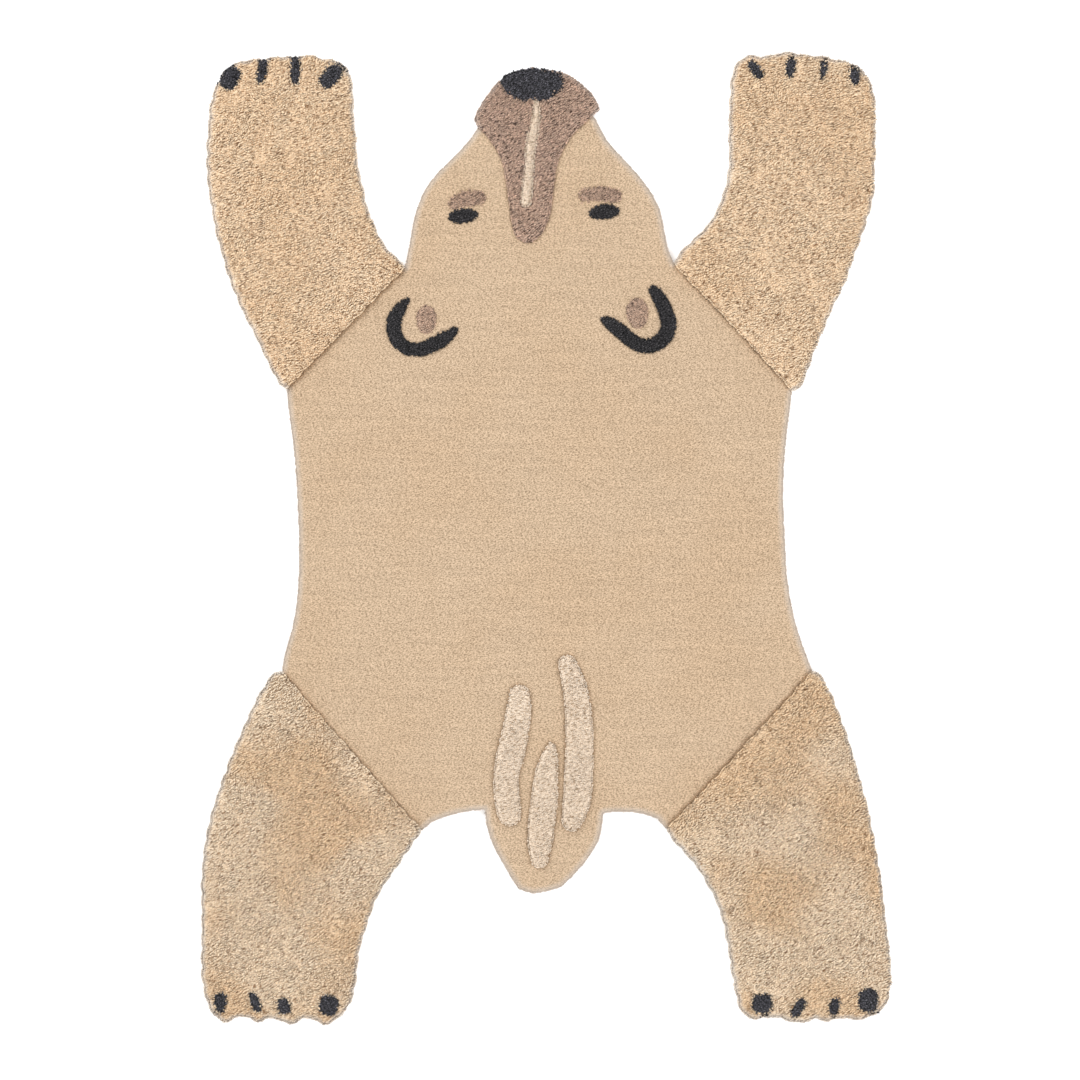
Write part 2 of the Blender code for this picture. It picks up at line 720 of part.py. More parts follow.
def leg_block(name, rim, seam, claws, rng):
    """A leg's field of high pile: lumpy on top, upright to its seam, with locks that bulge round its rim."""
    seam_points = run(seam, LOCK_STEP)
    loop = loop_of(run(rim, LOCK_STEP), seam_points)
    on_seam = place_in(loop, seam_points)
    at = np.arange(len(loop))
    in_valley = at % POINTS_PER_LOCK == 0
    reach = np.array([LOCK_REACH * rng.uniform(SHORTEST_LOCK, 1.0) for _ in loop])
    bulge = np.where(in_valley, -LOCK_VALLEY, reach[at // POINTS_PER_LOCK])
    rings = [
        moved_out(loop, -CLEARANCE),
        moved_out(loop, np.where(on_seam, -CLEARANCE, bulge / 2)),
        moved_out(loop, bulge),
        moved_out(loop, np.where(in_valley, VALLEY_CREST, LOCK_CREST)),
    ]
    heights = [
        FOUNDATION_TOP + CLEARANCE,
        LOW_PILE_TOP + 2 * CLEARANCE,
        (LOW_PILE_TOP + HIGH_PILE_TOP) / 2,
        HIGH_PILE_TOP - LUMP_HEIGHT - LOCK_SAG * in_valley,
    ]
    lumps = lump_points(rings[-1], LUMP_PITCH, rng)
    tall = [HIGH_PILE_TOP - LUMP_HEIGHT * rng.uniform(0, 1) for _ in lumps]
    leg = block(name, rings, heights, SAND_HIGH, lumps, tall)
    paw = name.replace("_leg", "")
    for k, claw in enumerate(claws, 1):
        outline = oval(claw._replace(fullness=CLAW_FULLNESS), CLAW_CORNERS)
        cut_pocket(leg, f"claw_{paw}_{k}", moved_out(outline, CLEARANCE), 0.0)
        pad(f"claw_{paw}_{k}", outline, CLAW_TOP, CHARCOAL, CLAW_TOP - EDGE_ROUND)


def muzzle_block(front, seam, nose, stripe):
    """The raised muzzle: soft all round, with the nose at its rim and the stripe down its bridge cut out."""
    seam_points = run(seam, MEDIUM)
    loop = loop_of(run(front, MEDIUM), seam_points)
    on_seam = place_in(loop, seam_points)
    rings = [
        moved_out(loop, -CLEARANCE),
        moved_out(loop, np.where(on_seam, -CLEARANCE, EDGE_ROUND / 2)),
        moved_out(loop, EDGE_ROUND / 2),
        moved_out(loop, -EDGE_ROUND),
    ]
    heights = [
        FOUNDATION_TOP + CLEARANCE,
        LOW_PILE_TOP + 2 * CLEARANCE,
        (LOW_PILE_TOP + MUZZLE_TOP) / 2,
        MUZZLE_TOP,
    ]
    rng = random.Random(SEED)
    lumps = lump_points(rings[-1], LUMP_PITCH, rng)
    tall = [MUZZLE_TOP + LOW_LUMP_HEIGHT * rng.uniform(-1, 1) for _ in lumps]
    muzzle = block("muzzle", rings, heights, TAUPE, lumps, tall)
    for name, outline in {"nose": nose, "stripe": stripe}.items():
        cut_pocket(muzzle, name, moved_out(outline, CLEARANCE), 0.0)


def build():
    """Clears the scene and makes every sub-part of the rug."""
    for obj in list(bpy.data.objects):
        bpy.data.objects.remove(obj)
    legs = {
        "front_leg_left": leg_runs(FRONT_LEG_LEFT, NECK_LEFT, SHOULDER_LEFT),
        "front_leg_right": leg_runs(FRONT_LEG_RIGHT, NECK_RIGHT, SHOULDER_RIGHT),
        "hind_leg_left": leg_runs(HIND_LEG_LEFT, CROTCH_LEFT, HIP_LEFT),
        "hind_leg_right": leg_runs(HIND_LEG_RIGHT, CROTCH_RIGHT, HIP_RIGHT),
    }
    muzzle_front, muzzle_seam = muzzle_runs()
    in_low_pile = {
        "brow_left": (swept(BROW_LEFT), SOFT_MARK_TOP, TAUPE),
        "brow_right": (swept(BROW_RIGHT), SOFT_MARK_TOP, TAUPE),
        "eye_left": (oval(EYE_LEFT), EYE_TOP, CHARCOAL),
        "eye_right": (oval(EYE_RIGHT), EYE_TOP, CHARCOAL),
        "ear_left": (swept(EAR_LEFT), EAR_TOP, CHARCOAL),
        "ear_right": (swept(EAR_RIGHT), EAR_TOP, CHARCOAL),
        "inner_ear_left": (oval(INNER_EAR_LEFT), SOFT_MARK_TOP, TAUPE),
        "inner_ear_right": (oval(INNER_EAR_RIGHT), SOFT_MARK_TOP, TAUPE),
        "tail_stroke_left": (swept(TAIL_STROKE_LEFT, MEDIUM), TAIL_STROKE_TOP, CREAM),
        "tail_stroke_middle": (swept(TAIL_STROKE_MIDDLE, MEDIUM), TAIL_STROKE_TOP, CREAM),
        "tail_stroke_right": (swept(TAIL_STROKE_RIGHT, MEDIUM), TAIL_STROKE_TOP, CREAM),
    }
    pockets = {name: outline for name, (outline, _, _) in in_low_pile.items()}
    ground(legs, muzzle_front, muzzle_seam, pockets)
    for name, (outline, top, wool) in in_low_pile.items():
        pad(name, outline, top, wool, LOW_PILE_TOP)
    stripe = swept(NOSE_STRIPE)
    muzzle_block(muzzle_front, muzzle_seam, nose_outline(), stripe)
    pad("nose", nose_outline(), NOSE_TOP, CHARCOAL, MUZZLE_TOP)
    pad("nose_stripe", stripe, STRIPE_TOP, CREAM, STRIPE_TOP - EDGE_ROUND)
    rng = random.Random(SEED)
    for name, (rim, seam) in legs.items():
        leg_block(name, rim, seam, CLAWS[name.replace("_leg", "")], rng)
    rug = bpy.data.objects.new("rug", None)
    bpy.context.scene.collection.objects.link(rug)
    for obj in bpy.context.scene.objects:
        if obj is not rug:
            obj.parent = rug


build()
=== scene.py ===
"""Looks of the animal shaped kids rug: wool tufted at two heights, as a bear hide that lies flat.

The hide lies face up on the floor with its nose towards +Y. A sheet of low pile makes the head, the back and
the tail. The legs are high pile, and the muzzle, nose, brows, eyes, ears, claws and tail strokes are pile of
other colours. Every field of pile is a closed slab that follows its CAD solid, with the yarn ends that stand
on it. Every length below is in metres.
"""

import logging
import math
from dataclasses import dataclass, field, replace
from enum import Enum
from functools import lru_cache
from typing import Callable, Sequence

import bmesh
import bpy
import numpy as np
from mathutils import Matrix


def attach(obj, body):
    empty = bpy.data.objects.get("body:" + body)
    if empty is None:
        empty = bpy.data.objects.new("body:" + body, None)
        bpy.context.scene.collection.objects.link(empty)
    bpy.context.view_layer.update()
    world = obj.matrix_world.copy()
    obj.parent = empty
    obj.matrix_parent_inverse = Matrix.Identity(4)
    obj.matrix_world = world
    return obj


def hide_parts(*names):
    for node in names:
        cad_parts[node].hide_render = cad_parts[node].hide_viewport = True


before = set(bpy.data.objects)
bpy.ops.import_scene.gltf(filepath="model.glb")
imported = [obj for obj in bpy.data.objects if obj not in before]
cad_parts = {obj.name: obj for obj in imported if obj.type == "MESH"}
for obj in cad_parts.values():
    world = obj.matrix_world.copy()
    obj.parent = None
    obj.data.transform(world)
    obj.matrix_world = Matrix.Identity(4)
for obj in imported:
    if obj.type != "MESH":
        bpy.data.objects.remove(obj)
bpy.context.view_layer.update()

Array = np.ndarray
Colour = tuple[float, float, float]
Piece = bpy.types.Object
Socket = bpy.types.NodeSocket
Flat = Callable[[Array, Array], Array]
Height = Callable[[Array, Array, Array], Array]
log = logging.getLogger("kids_rug")

FLOOR = 0.0
FOUNDATION_TOP = 0.0043
LOW_PILE_TOP = 0.013
SIDES = ("left", "right")
SNOUT = ("muzzle", "nose", "nose_stripe")
CLAWS_PER_PAW = 4
# The fineness of the plan of several nodes, and of a node that is set in another one.
HOST_CELL = 0.0011
GUEST_CELL = 0.0006
# How far the border between two colours strays, and the lengths of its ripples.
RAGGED = 0.0016
RAGGED_WAVES = (0.0065, 0.0035)
# How far in the hide's free edge is felt, and how far set-in fields reach over their neighbours there.
EDGE_BAND = 0.008
EDGE_OVERHANG = 0.003
# How far single fields reach over their neighbours everywhere.
OVERHANG = {"nose_stripe": 0.002}
# How far a yarn end is let into its slab, and the share of lit colour over painted shade of a rim yarn and
# along a stalk's seven points.
LET_IN = 0.0012
RIM_LIT_SHARE = 0.98
STALK_LIT_SHARE = (0.7, 0.7, 0.7, 0.95, 0.95, 0.95, 1.0)
# A direction that no yarn has.
ASKEW = np.array([[0.31, 0.11, 0.0]])
# How far out a slab's wall bulges and how far down, as a share of its height, and its least height.
WALL_BELLY = (0.0005, 0.35)
LEAST_WALL = 0.002
# In a piece's map: the normal's z of faces that look down, their corner's gap, least side and filled share.
LOOKS_DOWN = -0.9
MAP_GAP = 0.01
LEAST_MAP = 0.02
MAP_FILL = 0.98


class Role(Enum):
    """Which faces of a piece get which of its materials."""

    WOOL = 0
    BACKING = 1


def eased(value: Array, start: float, end: float) -> Array:
    """Smooth step: 0 up to start, 1 from end on, and 3t^2 - 2t^3 between, with t the share of the way."""
    t = np.clip((value - start) / (end - start), 0.0, 1.0)
    return t * t * (3.0 - 2.0 * t)


def ripple(x: Array, y: Array, wavelength: float, seed: int, waves: int = 7) -> Array:
    """Smooth unevenness around 0, most of it within 1.

    It is the sum of plane cosine waves, each with its own direction, phase and a length near the given one,
    over the square root of half their number.

    Args:
        x, y: Places across and along.
        wavelength: The usual distance from crest to crest.
        seed: Which of the many such patterns.
        waves: How many waves are summed.

    Returns:
        The unevenness at each place.
    """
    rng = np.random.default_rng(seed)
    total = np.zeros(np.shape(x))
    for angle, phase, stretch in rng.uniform((0, 0, 0.75), (math.pi, math.tau, 1.35), (waves, 3)):
        along = x * math.cos(angle) + y * math.sin(angle)
        total += np.cos(math.tau * along / (wavelength * stretch) + phase)
    return total / math.sqrt(waves / 2)


def corners_of(nodes: Sequence[str]) -> Array:
    """The corners of all triangles of some CAD nodes.

    Args:
        nodes: The nodes' names.

    Returns:
        An array of triangles by 3 corners by 3 coordinates.
    """
    found = []
    for name in nodes:
        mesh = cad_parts[name].data
        mesh.calc_loop_triangles()
        points = np.empty(len(mesh.vertices) * 3)
        mesh.vertices.foreach_get("co", points)
        ids = np.empty(len(mesh.loop_triangles) * 3, dtype=np.int32)
        mesh.loop_triangles.foreach_get("vertices", ids)
        found.append(points.reshape(-1, 3)[ids.reshape(-1, 3)])
    return np.concatenate(found)


def seen_from_above(corners: Array, corner: Array, cell: float, shape: tuple[int, int]) -> Array:
    """Height of the highest triangle over each point of a square grid.

    The grid points in the box of every triangle are listed in one long array. Those whose three barycentric
    weights aren't negative lie in the triangle, and take the weighted mean of its corners' heights.

    Args:
        corners: Triangles by corners by coordinates.
        corner: The grid's lowest x and y.
        cell: The distance between grid points.
        shape: The grid's rows and columns.

    Returns:
        The heights, and -1 where no triangle is.
    """
    flat = (corners[:, :, :2] - corner) / cell
    span = flat[:, 1:] - flat[:, :1]
    whole = span[:, 0, 0] * span[:, 1, 1] - span[:, 0, 1] * span[:, 1, 0]
    up = whole > 1e-6
    flat, span, whole, height = flat[up], span[up], whole[up], corners[up, :, 2]
    low = np.ceil(flat.min(axis=1)).astype(int)
    size = np.floor(flat.max(axis=1)).astype(int) - low + 1
    count = size.clip(min=0).prod(axis=1)
    owner = np.repeat(np.arange(len(count)), count)
    step = np.arange(count.sum()) - np.repeat(count.cumsum() - count, count)
    column = low[owner, 0] + step % size[owner, 0]
    row = low[owner, 1] + step // size[owner, 0]
    x, y = column - flat[owner, 0, 0], row - flat[owner, 0, 1]
    second = (x * span[owner, 1, 1] - y * span[owner, 1, 0]) / whole[owner]
    third = (y * span[owner, 0, 0] - x * span[owner, 0, 1]) / whole[owner]
    first = 1.0 - second - third
    in_it = np.minimum(np.minimum(first, second), third) >= -1e-6
    z = first * height[owner, 0] + second * height[owner, 1] + third * height[owner, 2]
    heights = np.full(shape, -1.0)
    np.maximum.at(heights, (row[in_it], column[in_it]), z[in_it])
    return heights


def steps_to(mask: Array, reach: int) -> Array:
    """Distance in grid steps from each point to the nearest point of a mask, up to reach.

    Along each row it is the steps to the nearer of the last and the next such point. The distance is then the
    least hypotenuse of that and the steps to the row, over the rows within reach.

    Args:
        mask: True where the distance is 0.
        reach: The longest distance that is told.

    Returns:
        The distances.
    """
    far = reach + 1
    place = np.arange(mask.shape[1])
    before = np.maximum.accumulate(np.where(mask, place, -far * 9), axis=1)
    after = np.minimum.accumulate(np.where(mask, place, 10**6)[:, ::-1], axis=1)[:, ::-1]
    along = np.minimum(place - before, after - place).clip(max=far).astype(float)
    framed = np.pad(along, ((reach, reach), (0, 0)), constant_values=far)
    best = along.copy()
    for step in range(-reach, reach + 1):
        rows = framed[reach + step : reach + step + len(along)]
        np.minimum(best, np.hypot(rows, step), out=best)
    return best


def softened(values: Array, width: int) -> Array:
    """The running mean over a square of 2 width + 1 points a side, edges repeated.

    Args:
        values: A grid of numbers.
        width: The half width of the square.

    Returns:
        The grid of means.
    """
    side = 2 * width + 1
    for axis in (0, 1):
        pad = [(0, 0), (0, 0)]
        pad[axis] = (width + 1, width)
        total = np.pad(values, pad, mode="edge").cumsum(axis=axis)
        high = np.take(total, np.arange(side, total.shape[axis]), axis=axis)
        low = np.take(total, np.arange(total.shape[axis] - side), axis=axis)
        values = (high - low) / side
    return values


@dataclass
class Plan:
    """Some CAD nodes as seen from above, on a square grid of points.

    Attributes:
        cell: The distance between grid points.
        corner: The lowest x and y.
        level: The smoothed height of the nodes' top, carried on a little past their rim.
        depth: The distance to the rim, positive inside.
    """

    cell: float
    corner: Array
    level: Array
    depth: Array

    @classmethod
    def of(cls, nodes: Sequence[str], cell: float, reach: float = 0.016, blur: float = 0.004) -> "Plan":
        """Reads the plan of some CAD nodes.

        Args:
            nodes: Their names.
            cell: The distance between grid points.
            reach: How far from the rim the depth is known.
            blur: Over what width the level is smoothed.

        Returns:
            The plan.
        """
        corners = corners_of(nodes)
        low = corners.min(axis=(0, 1))[:2] - reach
        high = corners.max(axis=(0, 1))[:2] + reach
        columns, rows = np.ceil((high - low) / cell).astype(int) + 1
        top = seen_from_above(corners, low, cell, (rows, columns))
        inside = top > 0.0
        steps = int(reach / cell)
        depth = np.where(inside, steps_to(~inside, steps) - 0.5, 0.5 - steps_to(inside, steps))
        width = max(1, round(blur / cell))
        share = softened(inside.astype(float), width)
        level = softened(np.where(inside, top, 0.0), width) / share.clip(min=1e-3)
        level = np.where(share > 1e-3, level, 0.0)
        return cls(cell, low, level, softened(depth * cell, 1))

    def read(self, values: Array, x: Array, y: Array) -> Array:
        """Reads a grid of this plan between its points, by the four points round each place.

        Args:
            values: The plan's level or depth.
            x, y: Places across and along.

        Returns:
            The values there.
        """
        u = np.clip((x - self.corner[0]) / self.cell, 0, values.shape[1] - 1.001)
        v = np.clip((y - self.corner[1]) / self.cell, 0, values.shape[0] - 1.001)
        i, j = u.astype(int), v.astype(int)
        s, t = u - i, v - j
        near = values[j, i] * (1 - s) + values[j, i + 1] * s
        far = values[j + 1, i] * (1 - s) + values[j + 1, i + 1] * s
        return near * (1 - t) + far * t

    def depth_at(self, x: Array, y: Array) -> Array:
        """The distance to the rim at each place, positive inside."""
        return self.read(self.depth, x, y)

    def level_at(self, x: Array, y: Array) -> Array:
        """The height of the smoothed top at each place."""
        return self.read(self.level, x, y)

    def inward(self, x: Array, y: Array) -> tuple[Array, Array]:
        """The unit vector that points away from the rim: the slope of depth, over its length.

        Args:
            x, y: Places across and along.

        Returns:
            The vector's x and y.
        """
        h = 2.0 * self.cell
        along_x = self.depth_at(x + h, y) - self.depth_at(x - h, y)
        along_y = self.depth_at(x, y + h) - self.depth_at(x, y - h)
        length = np.hypot(along_x, along_y).clip(min=1e-9)
        return along_x / length, along_y / length

    def on_rim(self, x: Array, y: Array, depth: float) -> tuple[Array, Array]:
        """Moves places along the slope of depth until they have the given depth.

        Args:
            x, y: Places across and along.
            depth: The depth that they get.

        Returns:
            The new x and y.
        """
        for _ in range(3):
            in_x, in_y = self.inward(x, y)
            way = depth - self.depth_at(x, y)
            x, y = x + way * in_x, y + way * in_y
        return x, y

    def limited(self, other: "Plan", less: float) -> "Plan":
        """This plan cut to the inside of another one: its depth is the lesser of both depths.

        Args:
            other: The plan whose rim limits this one.
            less: The margin from that rim.

        Returns:
            The cut plan.
        """
        row, column = np.indices(self.depth.shape)
        x, y = self.corner[0] + column * self.cell, self.corner[1] + row * self.cell
        depth = np.minimum(self.depth, other.depth_at(x, y) - less)
        return Plan(self.cell, self.corner, self.level, depth)

    def scatter(
        self, rows: float, along: float, turn: float, wander: float, seed: int
    ) -> tuple[Array, Array]:
        """Places in wavy staggered rows over the whole plan.

        Each place of a turned lattice strays by up to a quarter of its mesh, and two ripples bend the whole.

        Args:
            rows: The distance between rows.
            along: The distance between places in a row.
            turn: The rows' angle from +X, in radians.
            wander: How far the ripples bend the rows.
            seed: Which of the many such layouts.

        Returns:
            The places' x and y.
        """
        high = self.corner + self.cell * np.array(self.depth.shape[::-1])
        middle, half = (self.corner + high) / 2, float(np.linalg.norm(high - self.corner)) / 2
        n_rows, n_along = int(half / rows) + 1, int(half / along) + 1
        row, place = np.meshgrid(np.arange(-n_rows, n_rows + 1), np.arange(-n_along, n_along + 1))
        rng = np.random.default_rng(seed)
        stray = rng.uniform(-0.25, 0.25, (2, *row.shape))
        v = (row + stray[0]).ravel() * rows
        u = (place + 0.5 * (row % 2) + stray[1]).ravel() * along
        x = middle[0] + u * math.cos(turn) - v * math.sin(turn)
        y = middle[1] + u * math.sin(turn) + v * math.cos(turn)
        x, y = x + wander * ripple(x, y, 0.15, seed + 1), y + wander * ripple(x, y, 0.15, seed + 2)
        fits = (x > self.corner[0]) & (x < high[0]) & (y > self.corner[1]) & (y < high[1])
        return x[fits], y[fits]


@lru_cache(maxsize=None)
def plan_of(nodes: tuple[str, ...], cell: float) -> Plan:
    """The plan of some CAD nodes, read once for each set of nodes and fineness."""
    return Plan.of(nodes, cell)


@dataclass
class Surfaces:
    """The surfaces that are gathered into one piece, with notes on every point for its material.

    The notes are the share of lit colour over the painted shade of the roots, from 0 at the roots to 1 at the
    yarn ends;
    tint, a tuft's own shade around 0; and rim, painted light at the free edge, which is 1 on it and 0 away
    from it.
    """

    points: list[Array] = field(default_factory=list)
    notes: list[Array] = field(default_factory=list)
    faces: list[Array] = field(default_factory=list)
    count: int = 0

    def add(self, points: Array, faces: Sequence[Array], notes: Array) -> None:
        """Adds a surface.

        Args:
            points: Its points, one row each.
            faces: Arrays of point numbers, one row a face, with 3 or 4 columns.
            notes: Rise, tint and rim of each point, one row each.
        """
        self.faces += [ids + self.count for ids in faces]
        self.points.append(points)
        self.notes.append(notes)
        self.count += len(points)

    def piece(self, name: str, materials: Sequence[bpy.types.Material]) -> Piece:
        """Makes the piece.

        Args:
            name: The piece's name.
            materials: The materials in the order of Role.

        Returns:
            The new object, whose faces all have the first material.
        """
        points, notes = np.concatenate(self.points), np.concatenate(self.notes)
        sizes = np.concatenate([np.full(len(ids), ids.shape[1]) for ids in self.faces])
        corners = np.concatenate([ids.ravel() for ids in self.faces])
        mesh = bpy.data.meshes.new(name)
        mesh.vertices.add(len(points))
        mesh.vertices.foreach_set("co", points.ravel())
        mesh.loops.add(len(corners))
        mesh.loops.foreach_set("vertex_index", corners.astype(np.int32))
        mesh.polygons.add(len(sizes))
        mesh.polygons.foreach_set("loop_start", (sizes.cumsum() - sizes).astype(np.int32))
        mesh.polygons.foreach_set("use_smooth", np.ones(len(sizes), dtype=bool))
        mesh.update(calc_edges=True)
        for note, values in zip(("lit_share", "tint", "rim"), notes.T.astype(np.float32)):
            mesh.attributes.new(note, "FLOAT", "POINT").data.foreach_set("value", values.copy())
        for material in materials:
            mesh.materials.append(material)
        made = bpy.data.objects.new(name, mesh)
        bpy.context.scene.collection.objects.link(made)
        return made


def with_plate(made: Piece, role: Role) -> None:
    """Closes a slab below with one flat plate of triangles.

    Args:
        made: A slab that is open below.
        role: Which material the plate gets.
    """
    shape = bmesh.new()
    shape.from_mesh(made.data)
    rim = [edge for edge in shape.edges if edge.is_boundary]
    filled = bmesh.ops.triangle_fill(shape, edges=rim, use_beauty=True, normal=(0.0, 0.0, -1.0))["geom"]
    for plate in (part for part in filled if isinstance(part, bmesh.types.BMFace)):
        plate.material_index = role.value
        plate.smooth = False
        if plate.normal.z > 0:
            plate.normal_flip()
    shape.to_mesh(made.data)
    shape.free()


def mapped_from_above(made: Piece) -> None:
    """Gives a piece its map: x and y over the longer side, and faces that look down small in a free corner.

    Args:
        made: A finished piece.
    """
    mesh = made.data
    points = np.empty(len(mesh.vertices) * 3)
    mesh.vertices.foreach_get("co", points)
    ids = np.empty(len(mesh.loops), dtype=np.int32)
    mesh.loops.foreach_get("vertex_index", ids)
    flat = points.reshape(-1, 3)[:, :2]
    low, high = flat.min(axis=0), flat.max(axis=0)
    spread = (flat - low) / float((high - low).max())
    normals = np.empty(len(mesh.polygons) * 3)
    mesh.polygons.foreach_get("normal", normals)
    sizes = np.empty(len(mesh.polygons), dtype=np.int32)
    mesh.polygons.foreach_get("loop_total", sizes)
    below = np.repeat(normals.reshape(-1, 3)[:, 2] < LOOKS_DOWN, sizes)
    across, along = spread.max(axis=0)
    share = MAP_FILL * max(LEAST_MAP, 1.0 - float(min(across, along)) - MAP_GAP)
    corner = np.array([1.0 - share, 0.0] if across < along else [0.0, 1.0 - share])
    places = spread[ids]
    places[below] = corner + places[below] * share
    mesh.uv_layers.new(name="OFBake").data.foreach_set("uv", places.ravel())


def finished(made: Piece, replaced: str | None = None, plate: Role | None = None) -> Piece:
    """Closes a piece below if it is open there, maps it, and puts it on the body and in its node's place.

    Args:
        made: The piece.
        replaced: The CAD node that it takes the place of.
        plate: Which material closes it.

    Returns:
        The piece.
    """
    if plate is not None:
        with_plate(made, plate)
    mapped_from_above(made)
    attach(made, "root")
    if replaced is not None:
        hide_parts(replaced)
    log.info("%s: %d faces", made.name, len(made.data.polygons))
    return made


def slab(
    plan: Plan, pitch: float, inset: float, top: Height, foot: float, foot_inset: float
) -> tuple[Array, list[Array], Array]:
    """A slab over a plan: squares on top and a rounded wall, still open below.

    Squares of the grid stay if no corner is further out than 0.45 of their side, and one is further in than
    0.3 of it. The corners that only some squares share are drawn onto the rim. The wall has two rings: one a
    little lower and further out, and the foot, drawn in.

    Args:
        plan: What the slab covers.
        pitch: The side of the squares.
        inset: How far inside the plan's rim the slab ends.
        top: Height of the top as a function of x, y and depth past the inset.
        foot: Height of the underside.
        foot_inset: How far the foot draws in from the slab's rim.

    Returns:
        Its points, its faces and the depth of each point.
    """
    high = plan.corner + plan.cell * np.array(plan.depth.shape[::-1])
    columns, rows = ((high - plan.corner) / pitch).astype(int) + 1
    j, i = np.meshgrid(np.arange(rows), np.arange(columns), indexing="ij")
    x, y = plan.corner[0] + i.ravel() * pitch, plan.corner[1] + j.ravel() * pitch
    depth = plan.depth_at(x, y) - inset
    first = (j[:-1, :-1] * columns + i[:-1, :-1]).ravel()
    squares = np.stack([first, first + 1, first + columns + 1, first + columns], axis=1)
    nearest, deepest = depth[squares].min(axis=1), depth[squares].max(axis=1)
    squares = squares[(nearest > -0.45 * pitch) & (deepest > 0.3 * pitch)]
    used, squares = np.unique(squares, return_inverse=True)
    squares = squares.reshape(-1, 4)
    x, y = x[used], y[used]
    starts, ends = squares.ravel(), np.roll(squares, -1, axis=1).ravel()
    count = len(used)
    free = ~np.isin(starts * count + ends, ends * count + starts)
    starts, ends = starts[free], ends[free]
    edge = np.unique(starts)
    x[edge], y[edge] = plan.on_rim(x[edge], y[edge], inset)
    depth = plan.depth_at(x, y) - inset
    depth[edge] = 0.0
    z = top(x, y, depth)
    in_x, in_y = plan.inward(x[edge], y[edge])
    drop = np.maximum(z[edge] - foot, LEAST_WALL)
    order = np.full(count, -1)
    order[edge] = np.arange(len(edge))
    layers = [np.stack([x, y, z], axis=1)]
    faces = [squares]
    upper = edge
    for ring, (out, down) in enumerate((WALL_BELLY, (-foot_inset, 1.0))):
        lower = count + ring * len(edge) + np.arange(len(edge))
        layers.append(np.stack([x[edge] - out * in_x, y[edge] - out * in_y, z[edge] - down * drop], axis=1))
        a, b = order[starts], order[ends]
        faces.append(np.stack([upper[b], upper[a], lower[a], lower[b]], axis=1))
        upper = lower
    points = np.concatenate(layers)
    return points, faces, np.concatenate([depth, np.zeros(len(points) - count)])


def three_round(middle: Array, heading: Array, radius: Array, turn: Array) -> Array:
    """Three points round each middle, at equal angles in the plane square to its heading.

    Args:
        middle: The middles, one row each.
        heading: The vectors that the planes are square to.
        radius: The points' distance from their middle.
        turn: The angle of the first point.

    Returns:
        An array of middles by 3 points by 3 coordinates.
    """
    heading = heading / np.linalg.norm(heading, axis=1, keepdims=True)
    side = np.cross(heading, ASKEW)
    side /= np.linalg.norm(side, axis=1, keepdims=True).clip(min=1e-9)
    other = np.cross(heading, side)
    angle = turn[:, None] + np.arange(3) * (math.tau / 3)
    spread = np.cos(angle)[..., None] * side[:, None] + np.sin(angle)[..., None] * other[:, None]
    return middle[:, None] + radius[:, None, None] * spread


@dataclass
class Stalks:
    """Yarn ends on their way into a piece, one row each in every array.

    Attributes:
        root: Where each one starts.
        way: The vector from its root to its tip.
        thick: Its thickness.
        notes: Its share of lit colour over painted shade, its tint and its share of painted rim light.
        bow: The shoulder's share of the sideways way, and of the height.
    """

    root: Array
    way: Array
    thick: Array
    notes: Array
    bow: tuple[float, float]

    def into(self, gathered: Surfaces, seed: int) -> None:
        """Adds the yarn ends to a piece: three-sided stalks, each turned its own way and darker at the root
        by painted shade.

        A stalk runs from its root to a shoulder, where it is a little wider, and on to the tip. Three points
        stand round the root and three round the shoulder.

        Args:
            gathered: The piece's surfaces.
            seed: Which of the many such turns.
        """
        count = len(self.root)
        turn = np.random.default_rng(seed).uniform(0, math.tau, count)
        shoulder = self.root + self.way * np.array([self.bow[0], self.bow[0], self.bow[1]])
        low = three_round(self.root, shoulder - self.root, 0.42 * self.thick, turn)
        tip = self.root + self.way
        high = three_round(shoulder, tip - self.root, 0.5 * self.thick, turn)
        points = np.concatenate([low, high, tip[:, None]], axis=1).reshape(-1, 3)
        base = 7 * np.arange(count)[:, None, None]
        sides = np.array([[0, 1, 4, 3], [1, 2, 5, 4], [2, 0, 3, 5]]) + base
        ends = np.array([[3, 4, 6], [4, 5, 6], [5, 3, 6], [2, 1, 0]]) + base
        notes = np.repeat(self.notes, 7, axis=0)
        # Painted shade: the lower points of each stalk take less of the lit colour.
        notes[:, 0] *= np.tile(STALK_LIT_SHARE, count)
        gathered.add(points, [sides.reshape(-1, 4), ends.reshape(-1, 3)], notes)


